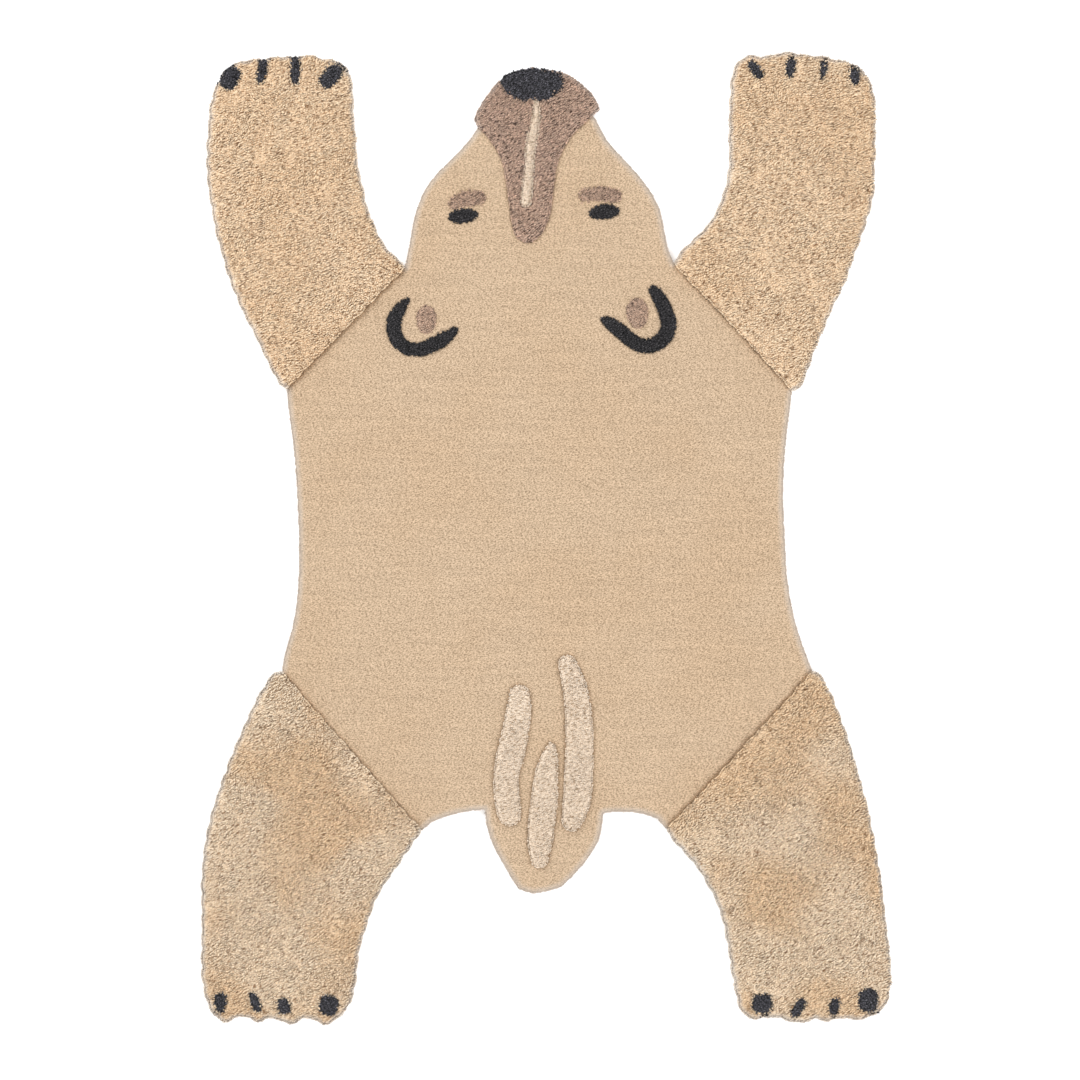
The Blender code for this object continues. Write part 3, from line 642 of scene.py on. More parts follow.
class Bench:
    """Adds nodes to a material's tree and joins them."""

    def __init__(self, name: str) -> None:
        """Starts a material with only its output.

        Args:
            name: The material's name.
        """
        self.material = bpy.data.materials.new(name)
        self.material.use_nodes = True
        self.tree = self.material.node_tree
        self.tree.nodes.clear()

    def add(self, kind: str, inputs: dict, **settings: object) -> bpy.types.Node:
        """Adds a node.

        Args:
            kind: The node's type without its prefix.
            inputs: A value or another node's socket for some of its sockets, by name or number.
            settings: Its properties.

        Returns:
            The node.
        """
        node = self.tree.nodes.new("ShaderNode" + kind)
        for key, value in settings.items():
            setattr(node, key, value)
        for key, value in inputs.items():
            if isinstance(value, bpy.types.NodeSocket):
                self.tree.links.new(value, node.inputs[key])
            else:
                node.inputs[key].default_value = value
        return node

    def places(self) -> Socket:
        """The coordinates of the piece's own frame, in metres."""
        return self.add("TexCoord", {}).outputs["Object"]

    def maths(self, operation: str, *values: object) -> Socket:
        """A sum, product or the like of numbers or sockets."""
        return self.add("Math", dict(enumerate(values)), operation=operation).outputs[0]

    def mixed(self, share: object, first: object, second: object, blend: str = "MIX") -> Socket:
        """A colour with a share of a second one mixed into it, or blended with it."""
        node = self.add("Mix", {0: share, 6: first, 7: second}, data_type="RGBA", blend_type=blend)
        return node.outputs[2]

    def note(self, name: str) -> Socket:
        """One of the notes kept on the piece's points."""
        return self.add("Attribute", {}, attribute_name=name).outputs["Fac"]

    def noise(self, where: Socket, size: float, detail: float = 2.0, bent: float = 0.0) -> Socket:
        """Cloudy noise around 0.5, by the clouds' size, the number of finer layers and how bent they are."""
        inputs = {"Vector": where, "Scale": 1.0 / size, "Detail": detail, "Distortion": bent}
        return self.add("TexNoise", inputs).outputs[0]

    def lying(self, where: Socket, turn: float, stretch: float) -> Socket:
        """Coordinates seen from above that stretch a pattern along a direction, an angle from +X."""
        inputs = {"Vector": where, "Rotation": (0.0, 0.0, turn), "Scale": (stretch, 1.0, 1000.0)}
        return self.add("Mapping", inputs, vector_type="TEXTURE").outputs[0]

    def between(self, value: object, low: float, high: float, to_low: float, to_high: float) -> Socket:
        """Carries the range from low to high over to another range, smoothly and without passing its ends."""
        ends = {0: value, 1: low, 2: high, 3: to_low, 4: to_high}
        return self.add("MapRange", ends, interpolation_type="SMOOTHSTEP").outputs[0]

    def lit(self, colour: Socket, light: Socket) -> Socket:
        """A colour times a brightness."""
        return self.add("VectorMath", {0: colour, 3: light}, operation="SCALE").outputs[0]

    def woollen(
        self, colour: Socket, rim: Colour, rim_share: float, height: Socket, relief: tuple[float, float]
    ) -> bpy.types.Material:
        """Ends the material as dull wool with a soft sheen, which fades to another colour at the free edge,
        painted light there.

        Args:
            colour: The wool's colour.
            rim: The colour at the free edge, painted light.
            rim_share: How much of it.
            height: The height of the relief.
            relief: Its strength, and its depth in metres.

        Returns:
            The material.
        """
        # Painted light: the colour fades to the rim colour by the rim note, which is 1 at the free edge.
        edge = self.maths("MULTIPLY", self.note("rim"), rim_share)
        colour = self.mixed(edge, colour, rgba(rim))
        raised = self.add("Bump", {"Height": height, "Strength": relief[0], "Distance": relief[1]}).outputs[0]
        inputs = {"Base Color": colour, "Roughness": 0.95, "Specular IOR Level": 0.15, "Sheen Weight": 0.1}
        return self.output(self.add("BsdfPrincipled", {**inputs, "Sheen Roughness": 0.6, "Normal": raised}))

    def output(self, shader: bpy.types.Node) -> bpy.types.Material:
        """Joins the shader to the output and gives back the material."""
        self.add("OutputMaterial", {"Surface": shader.outputs[0]})
        return self.material


def rgba(colour: Colour) -> tuple[float, float, float, float]:
    """A colour with full cover."""
    return (*colour, 1.0)


@dataclass(frozen=True)
class TuftedWool:
    """Wool whose yarn ends are modelled, with painted shade on the borders of fine locks and in a few deep
    partings.

    Attributes:
        name: The material's name.
        tip: Colour of the yarn ends.
        root: Colour deep between them, painted shade, which the yarns also take towards their roots.
        drift: Colour of the broad patches.
        drift_share: How much of that colour the patches have.
        rim: Colour that the free edge fades to, painted light.
        rim_share: How much of it.
        shade: How far a yarn's shade strays.
        lock: Width of a lock of wool, and how much longer than wide it is.
        turn: The angle of the locks from +X, in radians.
        opening: How dark the painted shade in the few deep partings is, from 0 to 1.
        edging: How dark the painted shade on the border of each lock is, from 0 to 1.
    """

    name: str
    tip: Colour
    root: Colour
    drift: Colour
    drift_share: float = 0.5
    rim: Colour = (0.7, 0.62, 0.52)
    rim_share: float = 0.0
    shade: float = 0.1
    lock: tuple[float, float] = (0.003, 2.2)
    turn: float = 0.5
    opening: float = 1.0
    edging: float = 0.3

    def material(self) -> bpy.types.Material:
        """Builds the material.

        Returns:
            The material.
        """
        bench = Bench(self.name)
        where = bench.places()
        width, stretch = self.lock
        # Painted shade: each point mixes from the dark root colour deep in the pile to the tip colour, by how
        # lit its note says it is.
        lit_share = bench.between(bench.note("lit_share"), 0.0, 1.0, 0.0, 1.0)
        colour = bench.mixed(lit_share, rgba(self.root), rgba(self.tip))
        patches = bench.between(bench.noise(where, 0.15, 1.0), 0.42, 0.62, 0.0, self.drift_share)
        colour = bench.mixed(patches, colour, rgba(self.drift), "MULTIPLY")
        rows = {"Vector": bench.lying(where, self.turn, stretch), "Scale": 1.0 / width}
        locks = bench.add("TexVoronoi", rows, feature="DISTANCE_TO_EDGE", voronoi_dimensions="2D")
        # Painted shade on the borders of the locks and in the deep partings, mixed towards the root colour;
        # it also sinks the relief.
        edging = bench.between(locks.outputs["Distance"], 0.0, 0.2, self.edging, 0.0)
        slits = bench.noise(bench.lying(where, self.turn, 1.8 * stretch), 0.5 * width, 1.0, 0.3)
        parted = bench.maths("MAXIMUM", edging, bench.between(slits, 0.36, 0.445, self.opening, 0.0))
        colour = bench.mixed(parted, colour, rgba(self.root))
        fibres = bench.noise(bench.lying(where, self.turn + 1.2, 2.5), 0.0011, 3.0)
        own = bench.maths("MULTIPLY", bench.note("tint"), self.shade)
        colour = bench.lit(colour, bench.maths("ADD", own, bench.between(fibres, 0.3, 0.7, 0.86, 1.14)))
        height = bench.maths("SUBTRACT", bench.maths("MULTIPLY", fibres, 0.5), parted)
        return bench.woollen(colour, self.rim, self.rim_share, height, (0.7, 0.0013))


@dataclass(frozen=True)
class ShornWool:
    """Low pile whose tufts are in the material: fine cut ends with painted light and shade, with faint rows
    of painted shade and clouds of warm wool.

    Attributes:
        name: The material's name.
        crown: Colour of the wool where it stands up, the lit colour of its painted light and shade.
        gap: Colour where it lies low, painted shade.
        warm: Colour of the warm clouds.
        rim: Colour that the free edge fades to, painted light.
        rim_share: How much of it.
        speck: Size of the specks of painted light and shade.
        tuft: Size of a cut end.
        row: Distance between the faint rows of painted shade.
    """

    name: str
    crown: Colour
    gap: Colour
    warm: Colour
    rim: Colour
    rim_share: float
    speck: float = 0.0015
    tuft: float = 0.0024
    row: float = 0.0078

    def material(self) -> bpy.types.Material:
        """Builds the material.

        Returns:
            The material.
        """
        bench = Bench(self.name)
        where = bench.places()
        # Painted light and shade: specks mix the shaded gap colour and the lit crown colour, tuft crowns are
        # lightened and faint rows darkened.
        specks = bench.noise(bench.lying(where, 0.28, 2.0), self.speck, 3.0, 0.6)
        ends = {"Vector": where, "Scale": 1.0 / self.tuft, "Smoothness": 0.7}
        tufts = bench.add("TexVoronoi", ends, feature="SMOOTH_F1")
        crowns = bench.between(tufts.outputs["Distance"], 0.1, 0.65, 1.0, 0.0)
        fibres = bench.noise(where, 0.0012, 3.0)
        colour = bench.mixed(bench.between(specks, 0.36, 0.6, 0.0, 1.0), rgba(self.gap), rgba(self.crown))
        clouds = bench.between(bench.noise(where, 0.2, 4.0), 0.38, 0.66, 0.0, 0.5)
        colour = bench.mixed(clouds, colour, rgba(self.warm), "MULTIPLY")
        rows = bench.between(bench.noise(bench.lying(where, 0.0, 16.0), self.row, 2.0), 0.3, 0.7, 0.9, 0.98)
        light = bench.maths("ADD", rows, bench.maths("MULTIPLY", crowns, 0.1))
        light = bench.maths("ADD", light, bench.between(fibres, 0.3, 0.7, -0.04, 0.04))
        height = bench.maths("ADD", crowns, bench.maths("MULTIPLY", specks, 2.5))
        height = bench.maths("ADD", height, bench.maths("MULTIPLY", fibres, 0.5))
        return bench.woollen(bench.lit(colour, light), self.rim, self.rim_share, height, (0.6, 0.0009))


@dataclass(frozen=True)
class Canvas:
    """The woven cotton backing on the underside: two sets of ribs at right angles.

    Attributes:
        name: The material's name.
        thread: Colour of the threads.
        gap: Colour between them.
        pitch: Distance between threads.
    """

    name: str
    thread: Colour
    gap: Colour
    pitch: float = 0.0022

    def material(self) -> bpy.types.Material:
        """Builds the material.

        Returns:
            The material.
        """
        bench = Bench(self.name)
        where = bench.places()
        sides = bench.add("SeparateXYZ", {0: where}).outputs
        angles = [bench.maths("MULTIPLY", side, math.tau / self.pitch) for side in sides[:2]]
        ribs = [bench.maths("SINE", angle) for angle in angles]
        weave = bench.between(bench.maths("MULTIPLY", *ribs), -1.0, 1.0, 0.0, 1.0)
        slubs = bench.between(bench.noise(where, 0.02, 4.0), 0.3, 0.7, 0.9, 1.06)
        colour = bench.lit(bench.mixed(weave, rgba(self.gap), rgba(self.thread)), slubs)
        relief = bench.add("Bump", {"Height": weave, "Strength": 0.5, "Distance": 0.0006}).outputs[0]
        inputs = {"Base Color": colour, "Roughness": 0.9, "Specular IOR Level": 0.2, "Normal": relief}
        return bench.output(bench.add("BsdfPrincipled", inputs))


# In the wool finishes below, the second colour, root or gap, is painted shade deep in the pile, and the rim
# colour is painted light at the free edge.
WARMTH = (0.97, 0.93, 0.88)
PALE_WARMTH = (0.95, 0.93, 0.9)
# Near black painted shade deep between the charcoal yarns.
DEEP_SHADE = (0.001, 0.001, 0.002)
SAND_LOW = ShornWool(
    "sand_low_pile", (0.70, 0.52, 0.357), (0.325, 0.23, 0.143), WARMTH, (0.62, 0.56, 0.50), 0.6
)
SAND_RIM = TuftedWool(
    "sand_low_rim", (0.66, 0.50, 0.36), (0.5, 0.37, 0.26), WARMTH, 0.3, (0.67, 0.61, 0.555), 0.85,
    shade=0.08, opening=0.3, edging=0.2
)
SAND_FRONT = TuftedWool(
    "sand_high_pile_front", (0.98, 0.785, 0.562), (0.31, 0.15, 0.056), (0.95, 0.88, 0.79), 0.35,
    (0.70, 0.665, 0.63), 0.75, lock=(0.0032, 2.8), turn=0.36, opening=0.88, edging=0.15
)
SAND_HIND = TuftedWool(
    "sand_high_pile_hind", (0.945, 0.79, 0.60), (0.31, 0.165, 0.072), (0.93, 0.82, 0.68), 0.7,
    (0.67, 0.64, 0.61), 0.75, lock=(0.003, 2.8), turn=0.54, opening=0.88, edging=0.15
)
TAUPE = TuftedWool(
    "taupe_pile", (0.735, 0.525, 0.405), (0.07, 0.038, 0.028), PALE_WARMTH, 0.5, (0.62, 0.55, 0.5), 0.5,
    shade=0.2, lock=(0.003, 3.0), turn=0.56, edging=0.4
)
TAUPE_LOW = TuftedWool(
    "taupe_low_pile", (0.69, 0.49, 0.37), (0.08, 0.048, 0.036), PALE_WARMTH, shade=0.2,
    lock=(0.0029, 2.0), opening=0.95, edging=0.4
)
CHARCOAL = TuftedWool(
    "charcoal_pile", (0.15, 0.146, 0.168), DEEP_SHADE, (0.8, 0.8, 0.8), shade=0.6, lock=(0.0036, 1.4), edging=1.0
)
INK = replace(CHARCOAL, name="charcoal_low_pile", tip=(0.077, 0.072, 0.076))
CREAM = TuftedWool(
    "cream_pile", (0.92, 0.79, 0.65), (0.48, 0.34, 0.215), (0.97, 0.94, 0.9), 0.3, lock=(0.003, 2.6), turn=0.3
)
BACKING = Canvas("cotton_backing", (0.62, 0.56, 0.46), (0.36, 0.31, 0.24))


def ragged(x: Array, y: Array) -> Array:
    """How far the border between two colours of wool strays from its line, by ripples of a tuft's length."""
    long, short = RAGGED_WAVES
    return RAGGED * (ripple(x, y, long, 77, 9) + 0.6 * ripple(x, y, short, 78, 9))


@lru_cache(maxsize=None)
def whole_hide() -> Plan:
    """The plan of the whole hide."""
    return plan_of(tuple(sorted(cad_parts)), HOST_CELL)


def bordering(x: Array, y: Array) -> Array:
    """How near each place is to the hide's free edge: 1 on it, 0 from 8 mm inside it."""
    return 1.0 - eased(whole_hide().depth_at(x, y), 0.0, EDGE_BAND)


def claimed(node: str, x: Array, y: Array) -> Array:
    """How deep places lie in a set-in field's wool: in its ragged CAD plan, widened by its overhangs."""
    depth = plan_of((node,), GUEST_CELL).depth_at(x, y)
    return depth + OVERHANG.get(node, 0.0) + ragged(x, y) + EDGE_OVERHANG * bordering(x, y)


def rounded(depth: Array, width: float) -> Array:
    """A top's draw at its rim: 1 - sqrt(1 - 0.98 s^2), with s from 0 at the width inside it to 1 on it."""
    share = 1.0 - np.clip(depth / width, 0.0, 1.0)
    return 1.0 - np.sqrt(1.0 - 0.98 * share**2)


def tints(rng: np.random.Generator, count: int) -> Array:
    """Shades of single yarns around 0, most of them within 0.6 and all within 1.5."""
    return rng.normal(0, 0.6, count).clip(-1.5, 1.5)


@dataclass
class RimYarns:
    """Yarns round a free rim that stand in tiers one above the other and lean out of it.

    Attributes:
        yarn: Their thickness.
        reach: How far inside the rim they stand.
        height: How high the crown is there, for the number of tiers.
        foot: The height of the lowest roots.
        tier: The usual height between tiers.
        bulge: How far the tips pass the rim.
        spread: How far single tips stray from that, outwards and aside.
        overlap: How many tiers high a yarn stands, and how many one of the top tier.
        seed: Which of the many such layouts.
    """

    yarn: float
    reach: float
    height: float
    foot: float = 0.0016
    tier: float = 0.0045
    bulge: float = 0.0006
    spread: tuple[float, float] = (0.0005, 0.0007)
    overlap: tuple[float, float] = (1.8, 1.3)
    seed: int = 5

    def stand(self, plan: Plan, crown: Height, fits: Flat) -> Stalks:
        """Stands the yarns round a plan's rim.

        Their places are those of a fine lattice near the rim, drawn onto a line inside it. The tiers share
        the height from foot to crown, and a yarn is about as high as its overlap times its tier.

        Args:
            plan: The plan whose rim they line.
            crown: Height of the yarn ends as a function of x, y and depth.
            fits: Whether a yarn stands at a place, as a function of x and y.

        Returns:
            The yarns.
        """
        rows = []
        step = 0.85 * self.yarn
        tiers = max(1, round((self.height - self.foot) / self.tier))
        for tier in range(tiers):
            rng = np.random.default_rng(self.seed + tier)
            x, y = plan.scatter(step, step, 0.2 + tier, 0.0, self.seed + 20 + tier)
            near = np.abs(plan.depth_at(x, y)) < 0.5 * step
            x, y = plan.on_rim(x[near], y[near], self.reach)
            there = fits(x, y)
            x, y = x[there], y[there]
            count = len(x)
            in_x, in_y = plan.inward(x, y)
            out = self.reach + self.bulge * (1.0 + 0.6 * ripple(x, y, 0.028, self.seed + 8))
            out = out + rng.normal(0, self.spread[0], count)
            aside = rng.normal(0, self.spread[1], count)
            share = (crown(x, y, np.zeros(count)) - self.foot) / tiers
            shift = rng.uniform(-0.3, 0.3, count) * (0 < tier < tiers - 1)
            root = np.stack([x, y, self.foot + (tier + shift) * share], axis=1)
            up = self.overlap[tier == tiers - 1] * share * (1.0 + rng.normal(0, 0.1, count))
            way = np.stack([-out * in_x - aside * in_y, -out * in_y + aside * in_x, up], axis=1)
            tint = tints(rng, count) + 0.5 * ripple(x, y, 0.012, self.seed + 9)
            # Painted light at the free edge, stronger on the upper tiers where light falls.
            pale = bordering(x, y) * (0.5 + 0.5 * (tier + 1) / tiers)
            notes = np.stack([np.full(count, RIM_LIT_SHARE), tint, pale], axis=1)
            rows.append((root, way, self.yarn * rng.uniform(0.95, 1.3, count), notes))
        return Stalks(*(np.concatenate(part) for part in zip(*rows)), bow=(0.7, 0.8))


@dataclass
class PileField:
    """A field of yarn ends that stands on a slab and takes the place of a CAD node.

    Attributes:
        node: The CAD node.
        slot: The record's material slot; not used.
        wool: The finish.
        hosts: The nodes whose common rim is its free rim, if not its own. The first one carries the others.
        guests: The nodes whose wool lies over it.
        cell: Fineness of the plan.
        pitch: Side of the slab's squares.
        ends: Distance between yarn ends, across the rows and along them.
        turn: The rows' angle, in radians.
        wander: How far the rows wave.
        yarn: Thickness of a yarn end.
        stand: How far the yarn ends stand above the slab.
        lean: Sideways share of a yarn end's length.
        splay: The same at its border with the wool that it is set in, over which it leans.
        furrow: Distance between the furrows in which the pile parts.
        sink: How deep they are.
        rim_yarn: Thickness of the yarns round the rim.
        rim_reach: How far inside the rim these stand.
        foot: The height of their lowest roots.
        edge_round: Over what depth the top draws down to the rim.
        drop: How far it draws down there.
        seed: Which of the many such layouts.
    """

    node: str
    slot: str
    wool: TuftedWool
    hosts: tuple[str, ...] = ()
    guests: tuple[str, ...] = ()
    cell: float = 0.0008
    pitch: float = 0.0024
    ends: tuple[float, float] = (0.0028, 0.0026)
    turn: float = 0.5
    wander: float = 0.002
    yarn: float = 0.0022
    stand: float = 0.0022
    lean: float = 0.7
    splay: float = 0.0
    furrow: float = 0.005
    sink: float = 0.0005
    rim_yarn: float = 0.0022
    rim_reach: float = 0.0012
    foot: float = 0.0105
    edge_round: float = 0.003
    drop: float = 0.0018
    seed: int = 11

    def own(self) -> Plan:
        """The plan of its node."""
        return plan_of((self.node,), self.cell)

    def whole(self) -> Plan:
        """The plan of the nodes that share its free rim."""
        return plan_of(self.hosts, HOST_CELL) if self.hosts else self.own()

    def crown(self, x: Array, y: Array, depth: Array) -> Array:
        """Height of the yarn ends: the CAD top, lower at the free rim and in the furrows."""
        edge = self.drop * rounded(depth, self.edge_round)
        return self.whole().level_at(x, y) - edge - self.sink * self.parted(x, y)

    def bed(self, x: Array, y: Array, depth: Array) -> Array:
        """Height of the slab under the yarn ends, by the places' depth in all hosts and slightly uneven."""
        uneven = 0.12 * self.stand * ripple(x, y, 2.0 * self.ends[0], self.seed + 9)
        return self.crown(x, y, self.whole().depth_at(x, y)) - self.stand + uneven

    def parted(self, x: Array, y: Array) -> Array:
        """How far the pile parts: 0 in most places, up to 1 in furrows along the rows, longer in patches.

        Args:
            x, y: Places across and along.

        Returns:
            The share of the full depth.
        """
        c, s = math.cos(self.turn), math.sin(self.turn)
        along = x * c + y * s
        across = y * c - x * s + 2.0 * self.wander * ripple(x, y, 0.06, self.seed + 2)
        short = ripple(along / 3.2, across, self.furrow, self.seed + 3, 12)
        long = ripple(along / 6.0, across, 1.2 * self.furrow, self.seed + 4, 12)
        patch = eased(ripple(x, y, 0.2, self.seed + 5), 0.0, 1.2)
        return eased(short + (long - short) * patch, 0.9, 1.9)

    def flow(self, x: Array, y: Array) -> Array:
        """Which way the pile lies: along the rows, with a heading that turns slowly from place to place.

        Args:
            x, y: Places across and along.

        Returns:
            The sideways lean, a row of x and a row of y.
        """
        slow, quick = ripple(x, y, 0.09, self.seed + 3), ripple(x, y, 0.012, self.seed + 6)
        heading = self.turn + 0.3 * slow + 0.2 * quick
        strength = self.lean * (1.0 + 0.25 * ripple(x, y, 0.05, self.seed + 4))
        return strength * np.array([np.cos(heading), np.sin(heading)])

    def room(self, x: Array, y: Array) -> Array:
        """How deep each place lies in this field's wool, less 1 mm.

        A field of its own ends at its ragged rim. One with hosts ends at their common rim, at its border with
        the host that carries it, and where its guests' wool begins.

        Args:
            x, y: Places across and along.

        Returns:
            The depths, positive where a yarn stands.
        """
        if not self.hosts:
            return self.own().depth_at(x, y) - 0.001 + 0.5 * ragged(x, y)
        depth = self.whole().depth_at(x, y) - 0.001
        if self.node != self.hosts[0]:
            depth = np.minimum(depth, claimed(self.node, x, y))
        for guest in self.guests:
            depth = np.minimum(depth, -claimed(guest, x, y))
        return depth

    def standing(self) -> Stalks:
        """The yarn ends on top.

        Their length is the stand plus what is let into the slab. They lean with the flow, less so near their
        border, outwards near the free rim, and over the neighbours by the splay.

        Returns:
            The yarn ends.
        """
        own, whole = self.own(), self.whole()
        x, y = own.scatter(self.ends[0], self.ends[1], self.turn, self.wander, self.seed)
        room = self.room(x, y)
        x, y, room = x[room > 0.0], y[room > 0.0], room[room > 0.0]
        rng = np.random.default_rng(self.seed + 5)
        count = len(x)
        depth = whole.depth_at(x, y)
        outward = 0.6 * (1.0 - eased(depth, 0.0, 5.0 * self.rim_reach))
        in_x, in_y = whole.inward(x, y)
        lean_x, lean_y = self.flow(x, y) * (0.5 + 0.5 * eased(room, 0.0, 0.004))
        over = 1.0 - eased(room, 0.0, 0.0025) if self.splay else np.zeros(count)
        length = (self.stand + LET_IN) * rng.uniform(0.8 - 0.2 * over, 1.12 + 0.3 * over, count)
        own_x, own_y = own.inward(x, y)
        lean_x, lean_y = lean_x - self.splay * over * own_x, lean_y - self.splay * over * own_y
        side_x = (lean_x + rng.normal(0, 0.2, count)) * (1 - outward) - outward * in_x
        side_y = (lean_y + rng.normal(0, 0.2, count)) * (1 - outward) - outward * in_y
        root = np.stack([x, y, self.crown(x, y, depth) - self.stand - LET_IN], axis=1)
        way = np.stack([side_x * length, side_y * length, length], axis=1)
        thick = self.yarn * rng.uniform(0.85, 1.15, count)
        # Painted shade: yarn ends in the furrows take less of the lit colour; the rim note paints light near
        # the free edge.
        notes = np.stack([1.0 - 0.3 * self.parted(x, y), tints(rng, count), bordering(x, y)], axis=1)
        return Stalks(root, way, thick, notes, bow=(0.68, 0.84))

    def build(self) -> Piece:
        """Builds the field and puts it in its node's place.

        Returns:
            The piece.
        """
        whole = self.whole()
        gathered = Surfaces()
        core = self.own().limited(whole, self.rim_reach)
        points, faces, _ = slab(core, self.pitch, 0.0002, self.bed, FOUNDATION_TOP, 0.0)
        x, y = points[:, 0], points[:, 1]
        # Painted shade: the slab under the yarn ends takes less of the lit colour, less again in the furrows;
        # the rim note paints light near the free edge.
        notes = np.stack([0.78 - 0.35 * self.parted(x, y), 0.0 * x, bordering(x, y)], axis=1)
        gathered.add(points, faces, notes)
        self.standing().into(gathered, self.seed + 50)
        height = float(whole.level.max()) - self.drop
        rim = RimYarns(self.rim_yarn, self.rim_reach, height, self.foot, seed=self.seed + 70)
        rim.stand(whole, self.crown, lambda x, y: self.room(x, y) > -0.0006).into(gathered, self.seed + 51)
        made = gathered.piece(self.node + "_pile", [self.wool.material()])
        return finished(made, self.node, Role.WOOL)


@dataclass
class LowPile:
    """The sheet of low pile that makes head, back and tail, and carries every other field.

    Attributes:
        legs: The plan of the legs and claws.
        marks: The plan of the fields on head and tail.
        snout: The plan of muzzle and nose.
        outline: The plan of the whole hide.
        pitch: Side of its squares.
        edge_round: Over what depth the top draws down to the rim.
        drop: How far it draws down there.
        seam: Where beside a leg the pile starts to sink, and where it has sunk, as depths in the leg.
        mark_seam: The same beside the other fields.
        uneven: Height of its slow unevenness.
        grain: How far each point's height strays, as the tufts' do.
        yarn: Thickness of the yarns round its rim.
        rim_drop: How far below the low pile's top they end.
    """

    legs: Plan
    marks: Plan
    snout: Plan
    outline: Plan
    pitch: float = 0.005
    edge_round: float = 0.004
    drop: float = 0.002
    seam: tuple[float, float] = (-0.0012, 0.002)
    mark_seam: tuple[float, float] = (0.0006, 0.005)
    uneven: float = 0.0004
    grain: float = 0.00022
    yarn: float = 0.0022
    rim_drop: float = 0.0011

    def top(self, x: Array, y: Array, depth: Array) -> Array:
        """Height of the sheet: uneven, lower at the rim, and sunk to the foundation under other fields.

        Args:
            x, y: Places across and along.
            depth: Their distance from the rim.

        Returns:
            The heights.
        """
        inner = np.clip(depth / self.edge_round, 0.0, 1.0)
        pile = LOW_PILE_TOP - self.drop * rounded(depth, self.edge_round)
        pile = pile + self.uneven * (ripple(x, y, 0.09, 3) + 0.6 * ripple(x, y, 0.03, 4)) * inner
        pile = pile + np.random.default_rng(6).normal(0, self.grain, len(x)) * inner
        by_legs = eased(self.legs.depth_at(x, y), *self.seam)
        by_marks = eased(self.marks.depth_at(x, y), *self.mark_seam)
        return pile + (FOUNDATION_TOP - 0.0004 - pile) * np.maximum(by_legs, by_marks)

    def crown(self, x: Array, y: Array, depth: Array) -> Array:
        """Height of the yarn ends round the rim, everywhere the same."""
        return np.full(len(x), LOW_PILE_TOP - self.rim_drop)

    def bare(self, x: Array, y: Array) -> Array:
        """Whether places at the rim are in the low pile: neither in a leg nor in the snout."""
        return np.maximum(self.legs.depth_at(x, y), self.snout.depth_at(x, y)) < -0.001

    def rim(self) -> Piece:
        """Builds the low yarns round the free rim of head, flanks and tail.

        Returns:
            The piece.
        """
        gathered = Surfaces()
        yarns = RimYarns(self.yarn, 0.0012, LOW_PILE_TOP, bulge=0.0003, seed=41)
        yarns.stand(self.outline, self.crown, self.bare).into(gathered, 42)
        return finished(gathered.piece("low_pile_rim", [SAND_RIM.material()]))

    def build(self) -> Piece:
        """Builds the sheet.

        Returns:
            The piece.
        """
        points, faces, depth = slab(self.outline, self.pitch, 0.001, self.top, FLOOR, 0.001)
        # Painted light: the rim note rises to 1 over the last 10 mm to the free edge.
        edge = 1.0 - eased(depth, 0.0, 0.01)
        gathered = Surfaces()
        gathered.add(points, faces, np.stack([1.0 + 0.0 * edge, 0.0 * edge, edge], axis=1))
        made = gathered.piece("low_pile_ground", [SAND_LOW.material(), BACKING.material()])
        return finished(made, "rug_ground", Role.BACKING)


@dataclass
class Studio:
    """A plain pale floor, soft light from two sides and all round, and a camera that looks straight down.

    Attributes:
        view: The middle of the picture on the rug, x and y.
        span: How much of the floor the picture is wide.
        lens: The camera's focal length in millimetres.
        sensor: The width of its sensor in millimetres.
        key: Place, side and power in watts of the light at the upper left.
        fill: The same of the light opposite.
        sky: Strength of the light from all round.
        floor: The side of the floor.
        white: Its colour.
        glow: Strength of the floor's own light, which keeps shadows on it faint.
    """

    view: tuple[float, float] = (-0.0099, -0.0025)
    span: float = 1.782
    lens: float = 85.0
    sensor: float = 36.0
    key: tuple[Colour, float, float] = ((-3.4, 3.2, 4.4), 3.2, 200.0)
    fill: tuple[Colour, float, float] = ((3.6, -2.4, 4.6), 3.6, 160.0)
    sky: float = 0.81
    floor: float = 12.0
    white: Colour = (0.93, 0.93, 0.93)
    glow: float = 0.35

    def light(self, name: str, place: tuple[float, float, float], size: float, power: float) -> None:
        """Adds a square soft light that looks at the middle of the rug.

        Args:
            name: Its name.
            place: Where it hangs.
            size: Its side.
            power: Its power in watts.
        """
        lamp = bpy.data.lights.new(name, "AREA")
        lamp.size = size
        lamp.energy = power
        made = bpy.data.objects.new(name, lamp)
        made.location = place
        made.rotation_euler = (-made.location).to_track_quat("-Z", "Y").to_euler()
        bpy.context.scene.collection.objects.link(made)

    def build(self) -> None:
        """Builds floor, lights and camera."""
        scene = bpy.context.scene
        bpy.ops.mesh.primitive_plane_add(size=self.floor, location=(0.0, 0.0, -0.0005))
        floor = bpy.context.object
        floor.name = "pale_floor"
        bench = Bench("pale_floor")
        white = rgba(self.white)
        inputs = {"Base Color": white, "Roughness": 0.8, "Emission Color": white}
        shader = bench.add("BsdfPrincipled", {**inputs, "Emission Strength": self.glow})
        floor.data.materials.append(bench.output(shader))
        self.light("key_light", *self.key)
        self.light("fill_light", *self.fill)
        world = bpy.data.worlds.new("soft_surround")
        world.use_nodes = True
        surround = world.node_tree.nodes["Background"].inputs
        surround["Color"].default_value = (1.0, 1.0, 1.0, 1.0)
        surround["Strength"].default_value = self.sky
        scene.world = world
        eye = bpy.data.cameras.new("camera")
        eye.lens = self.lens
        eye.sensor_width = self.sensor
        camera = bpy.data.objects.new("camera", eye)
        camera.location = (*self.view, LOW_PILE_TOP + self.span * self.lens / self.sensor)
        scene.collection.objects.link(camera)
        scene.camera = camera
        scene.view_settings.view_transform = "Standard"


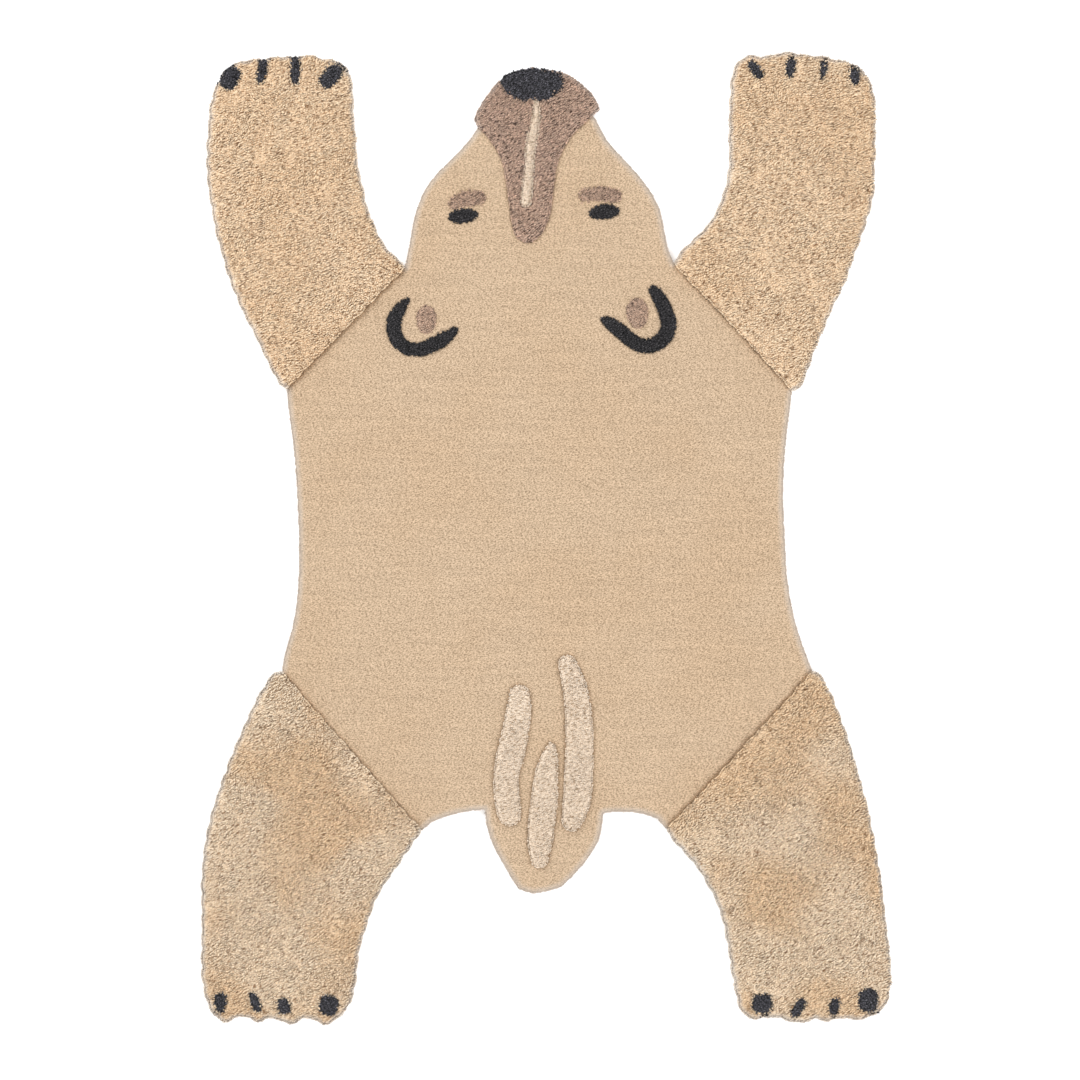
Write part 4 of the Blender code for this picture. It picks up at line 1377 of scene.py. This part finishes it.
@dataclass
class Leg:
    """A leg of high pile with the four claws at its paw.

    Attributes:
        name: Its CAD node.
        wool: The finish of its pile.
        turn: The angle of its rows, in radians.
        seed: Which of the many layouts.
    """

    name: str
    wool: TuftedWool
    turn: float
    seed: int

    def claws(self) -> list[str]:
        """The names of the claws' nodes."""
        paw = self.name.replace("_leg", "")
        return [f"claw_{paw}_{place}" for place in range(1, CLAWS_PER_PAW + 1)]

    def nodes(self) -> tuple[str, ...]:
        """The names of all its nodes, the leg's own first."""
        return (self.name, *self.claws())

    def build(self) -> list[Piece]:
        """Builds the leg and its claws.

        Returns:
            The pieces.
        """
        edge = {"hosts": self.nodes(), "rim_reach": 0.0014, "foot": 0.0016}
        edge |= {"edge_round": 0.006, "drop": 0.004}
        rows = {"ends": (0.0038, 0.0036), "turn": self.turn, "wander": 0.003, "sink": 0.0007}
        yarn = {"yarn": 0.003, "stand": 0.0038, "lean": 1.2, "rim_yarn": 0.0029}
        plan = {"guests": tuple(self.claws()), "cell": 0.0012, "pitch": 0.003, "seed": self.seed}
        fields = [PileField(self.name, "high_pile_sand", self.wool, **edge, **rows, **yarn, **plan)]
        short = {"cell": 0.0006, "stand": 0.0032, "splay": 0.9}
        for seed, claw in enumerate(self.claws(), self.seed + 60):
            fields.append(PileField(claw, "pile_charcoal", CHARCOAL, seed=seed, **edge, **short))
        return [pile.build() for pile in fields]


@dataclass
class Rug:
    """The whole rug.

    Attributes:
        width: Its flat width; not used.
        length: Its flat length; not used.
        area: The flat area of the hide's outline; not used.
    """

    width: float = 1.136
    length: float = 1.603
    area: float = 1.283

    def marks(self) -> list[PileField]:
        """The fields on head and tail.

        Returns:
            The fields, not built yet.
        """
        snout = {"hosts": SNOUT, "rim_yarn": 0.0026, "rim_reach": 0.0014, "foot": 0.0016}
        snout |= {"edge_round": 0.005, "drop": 0.0035}
        plush = {**snout, "ends": (0.0032, 0.003), "yarn": 0.0027, "stand": 0.0032, "lean": 0.8}
        plush["sink"] = 0.001
        brow = {"stand": 0.0028, "splay": 1.3, "drop": 0.0002}
        stroke = {"ends": (0.003, 0.0028), "turn": 0.4, "yarn": 0.0024, "lean": 0.9, "rim_yarn": 0.0024}
        stroke |= {"edge_round": 0.004, "drop": 0.0025}
        fields = [
            PileField("muzzle", "pile_taupe", TAUPE, guests=SNOUT[1:], cell=0.001, seed=101, **plush),
            PileField("nose", "pile_charcoal", CHARCOAL, guests=SNOUT[2:], splay=0.8, seed=111, **plush),
            PileField("nose_stripe", "pile_cream", CREAM, cell=0.0006, splay=0.6, seed=121, **snout),
        ]
        for place, side in enumerate(SIDES):
            fields += [
                PileField(f"brow_{side}", "pile_taupe", TAUPE_LOW, seed=131 + place, **brow),
                PileField(f"eye_{side}", "pile_charcoal", INK, cell=0.0006, seed=141 + place),
                PileField(f"ear_{side}", "pile_charcoal", INK, seed=151 + place),
                PileField(f"inner_ear_{side}", "pile_taupe", TAUPE_LOW, seed=161 + place),
            ]
        for seed, place in enumerate(("left", "middle", "right"), 171):
            fields.append(PileField(f"tail_stroke_{place}", "pile_cream", CREAM, seed=seed, **stroke))
        return fields

    def build(self) -> None:
        legs = [
            Leg("front_leg_left", SAND_FRONT, 0.38, 201),
            Leg("front_leg_right", SAND_FRONT, 0.3, 301),
            Leg("hind_leg_left", SAND_HIND, 0.45, 401),
            Leg("hind_leg_right", SAND_HIND, 0.6, 501),
        ]
        marks = self.marks()
        paws = tuple(name for leg in legs for name in leg.nodes())
        on_it = tuple(mark.node for mark in marks)
        low = LowPile(*(plan_of(nodes, HOST_CELL) for nodes in (paws, on_it, SNOUT, ("rug_ground", *paws))))
        ground = low.build()
        carried = [piece for leg in legs for piece in leg.build()]
        carried += [mark.build() for mark in marks]
        carried.append(low.rim())


def main() -> None:
    """Builds the rug and the studio."""
    logging.basicConfig(level=logging.INFO, format="%(message)s")
    Rug().build()
    Studio().build()


if __name__ == "__main__":
    main()
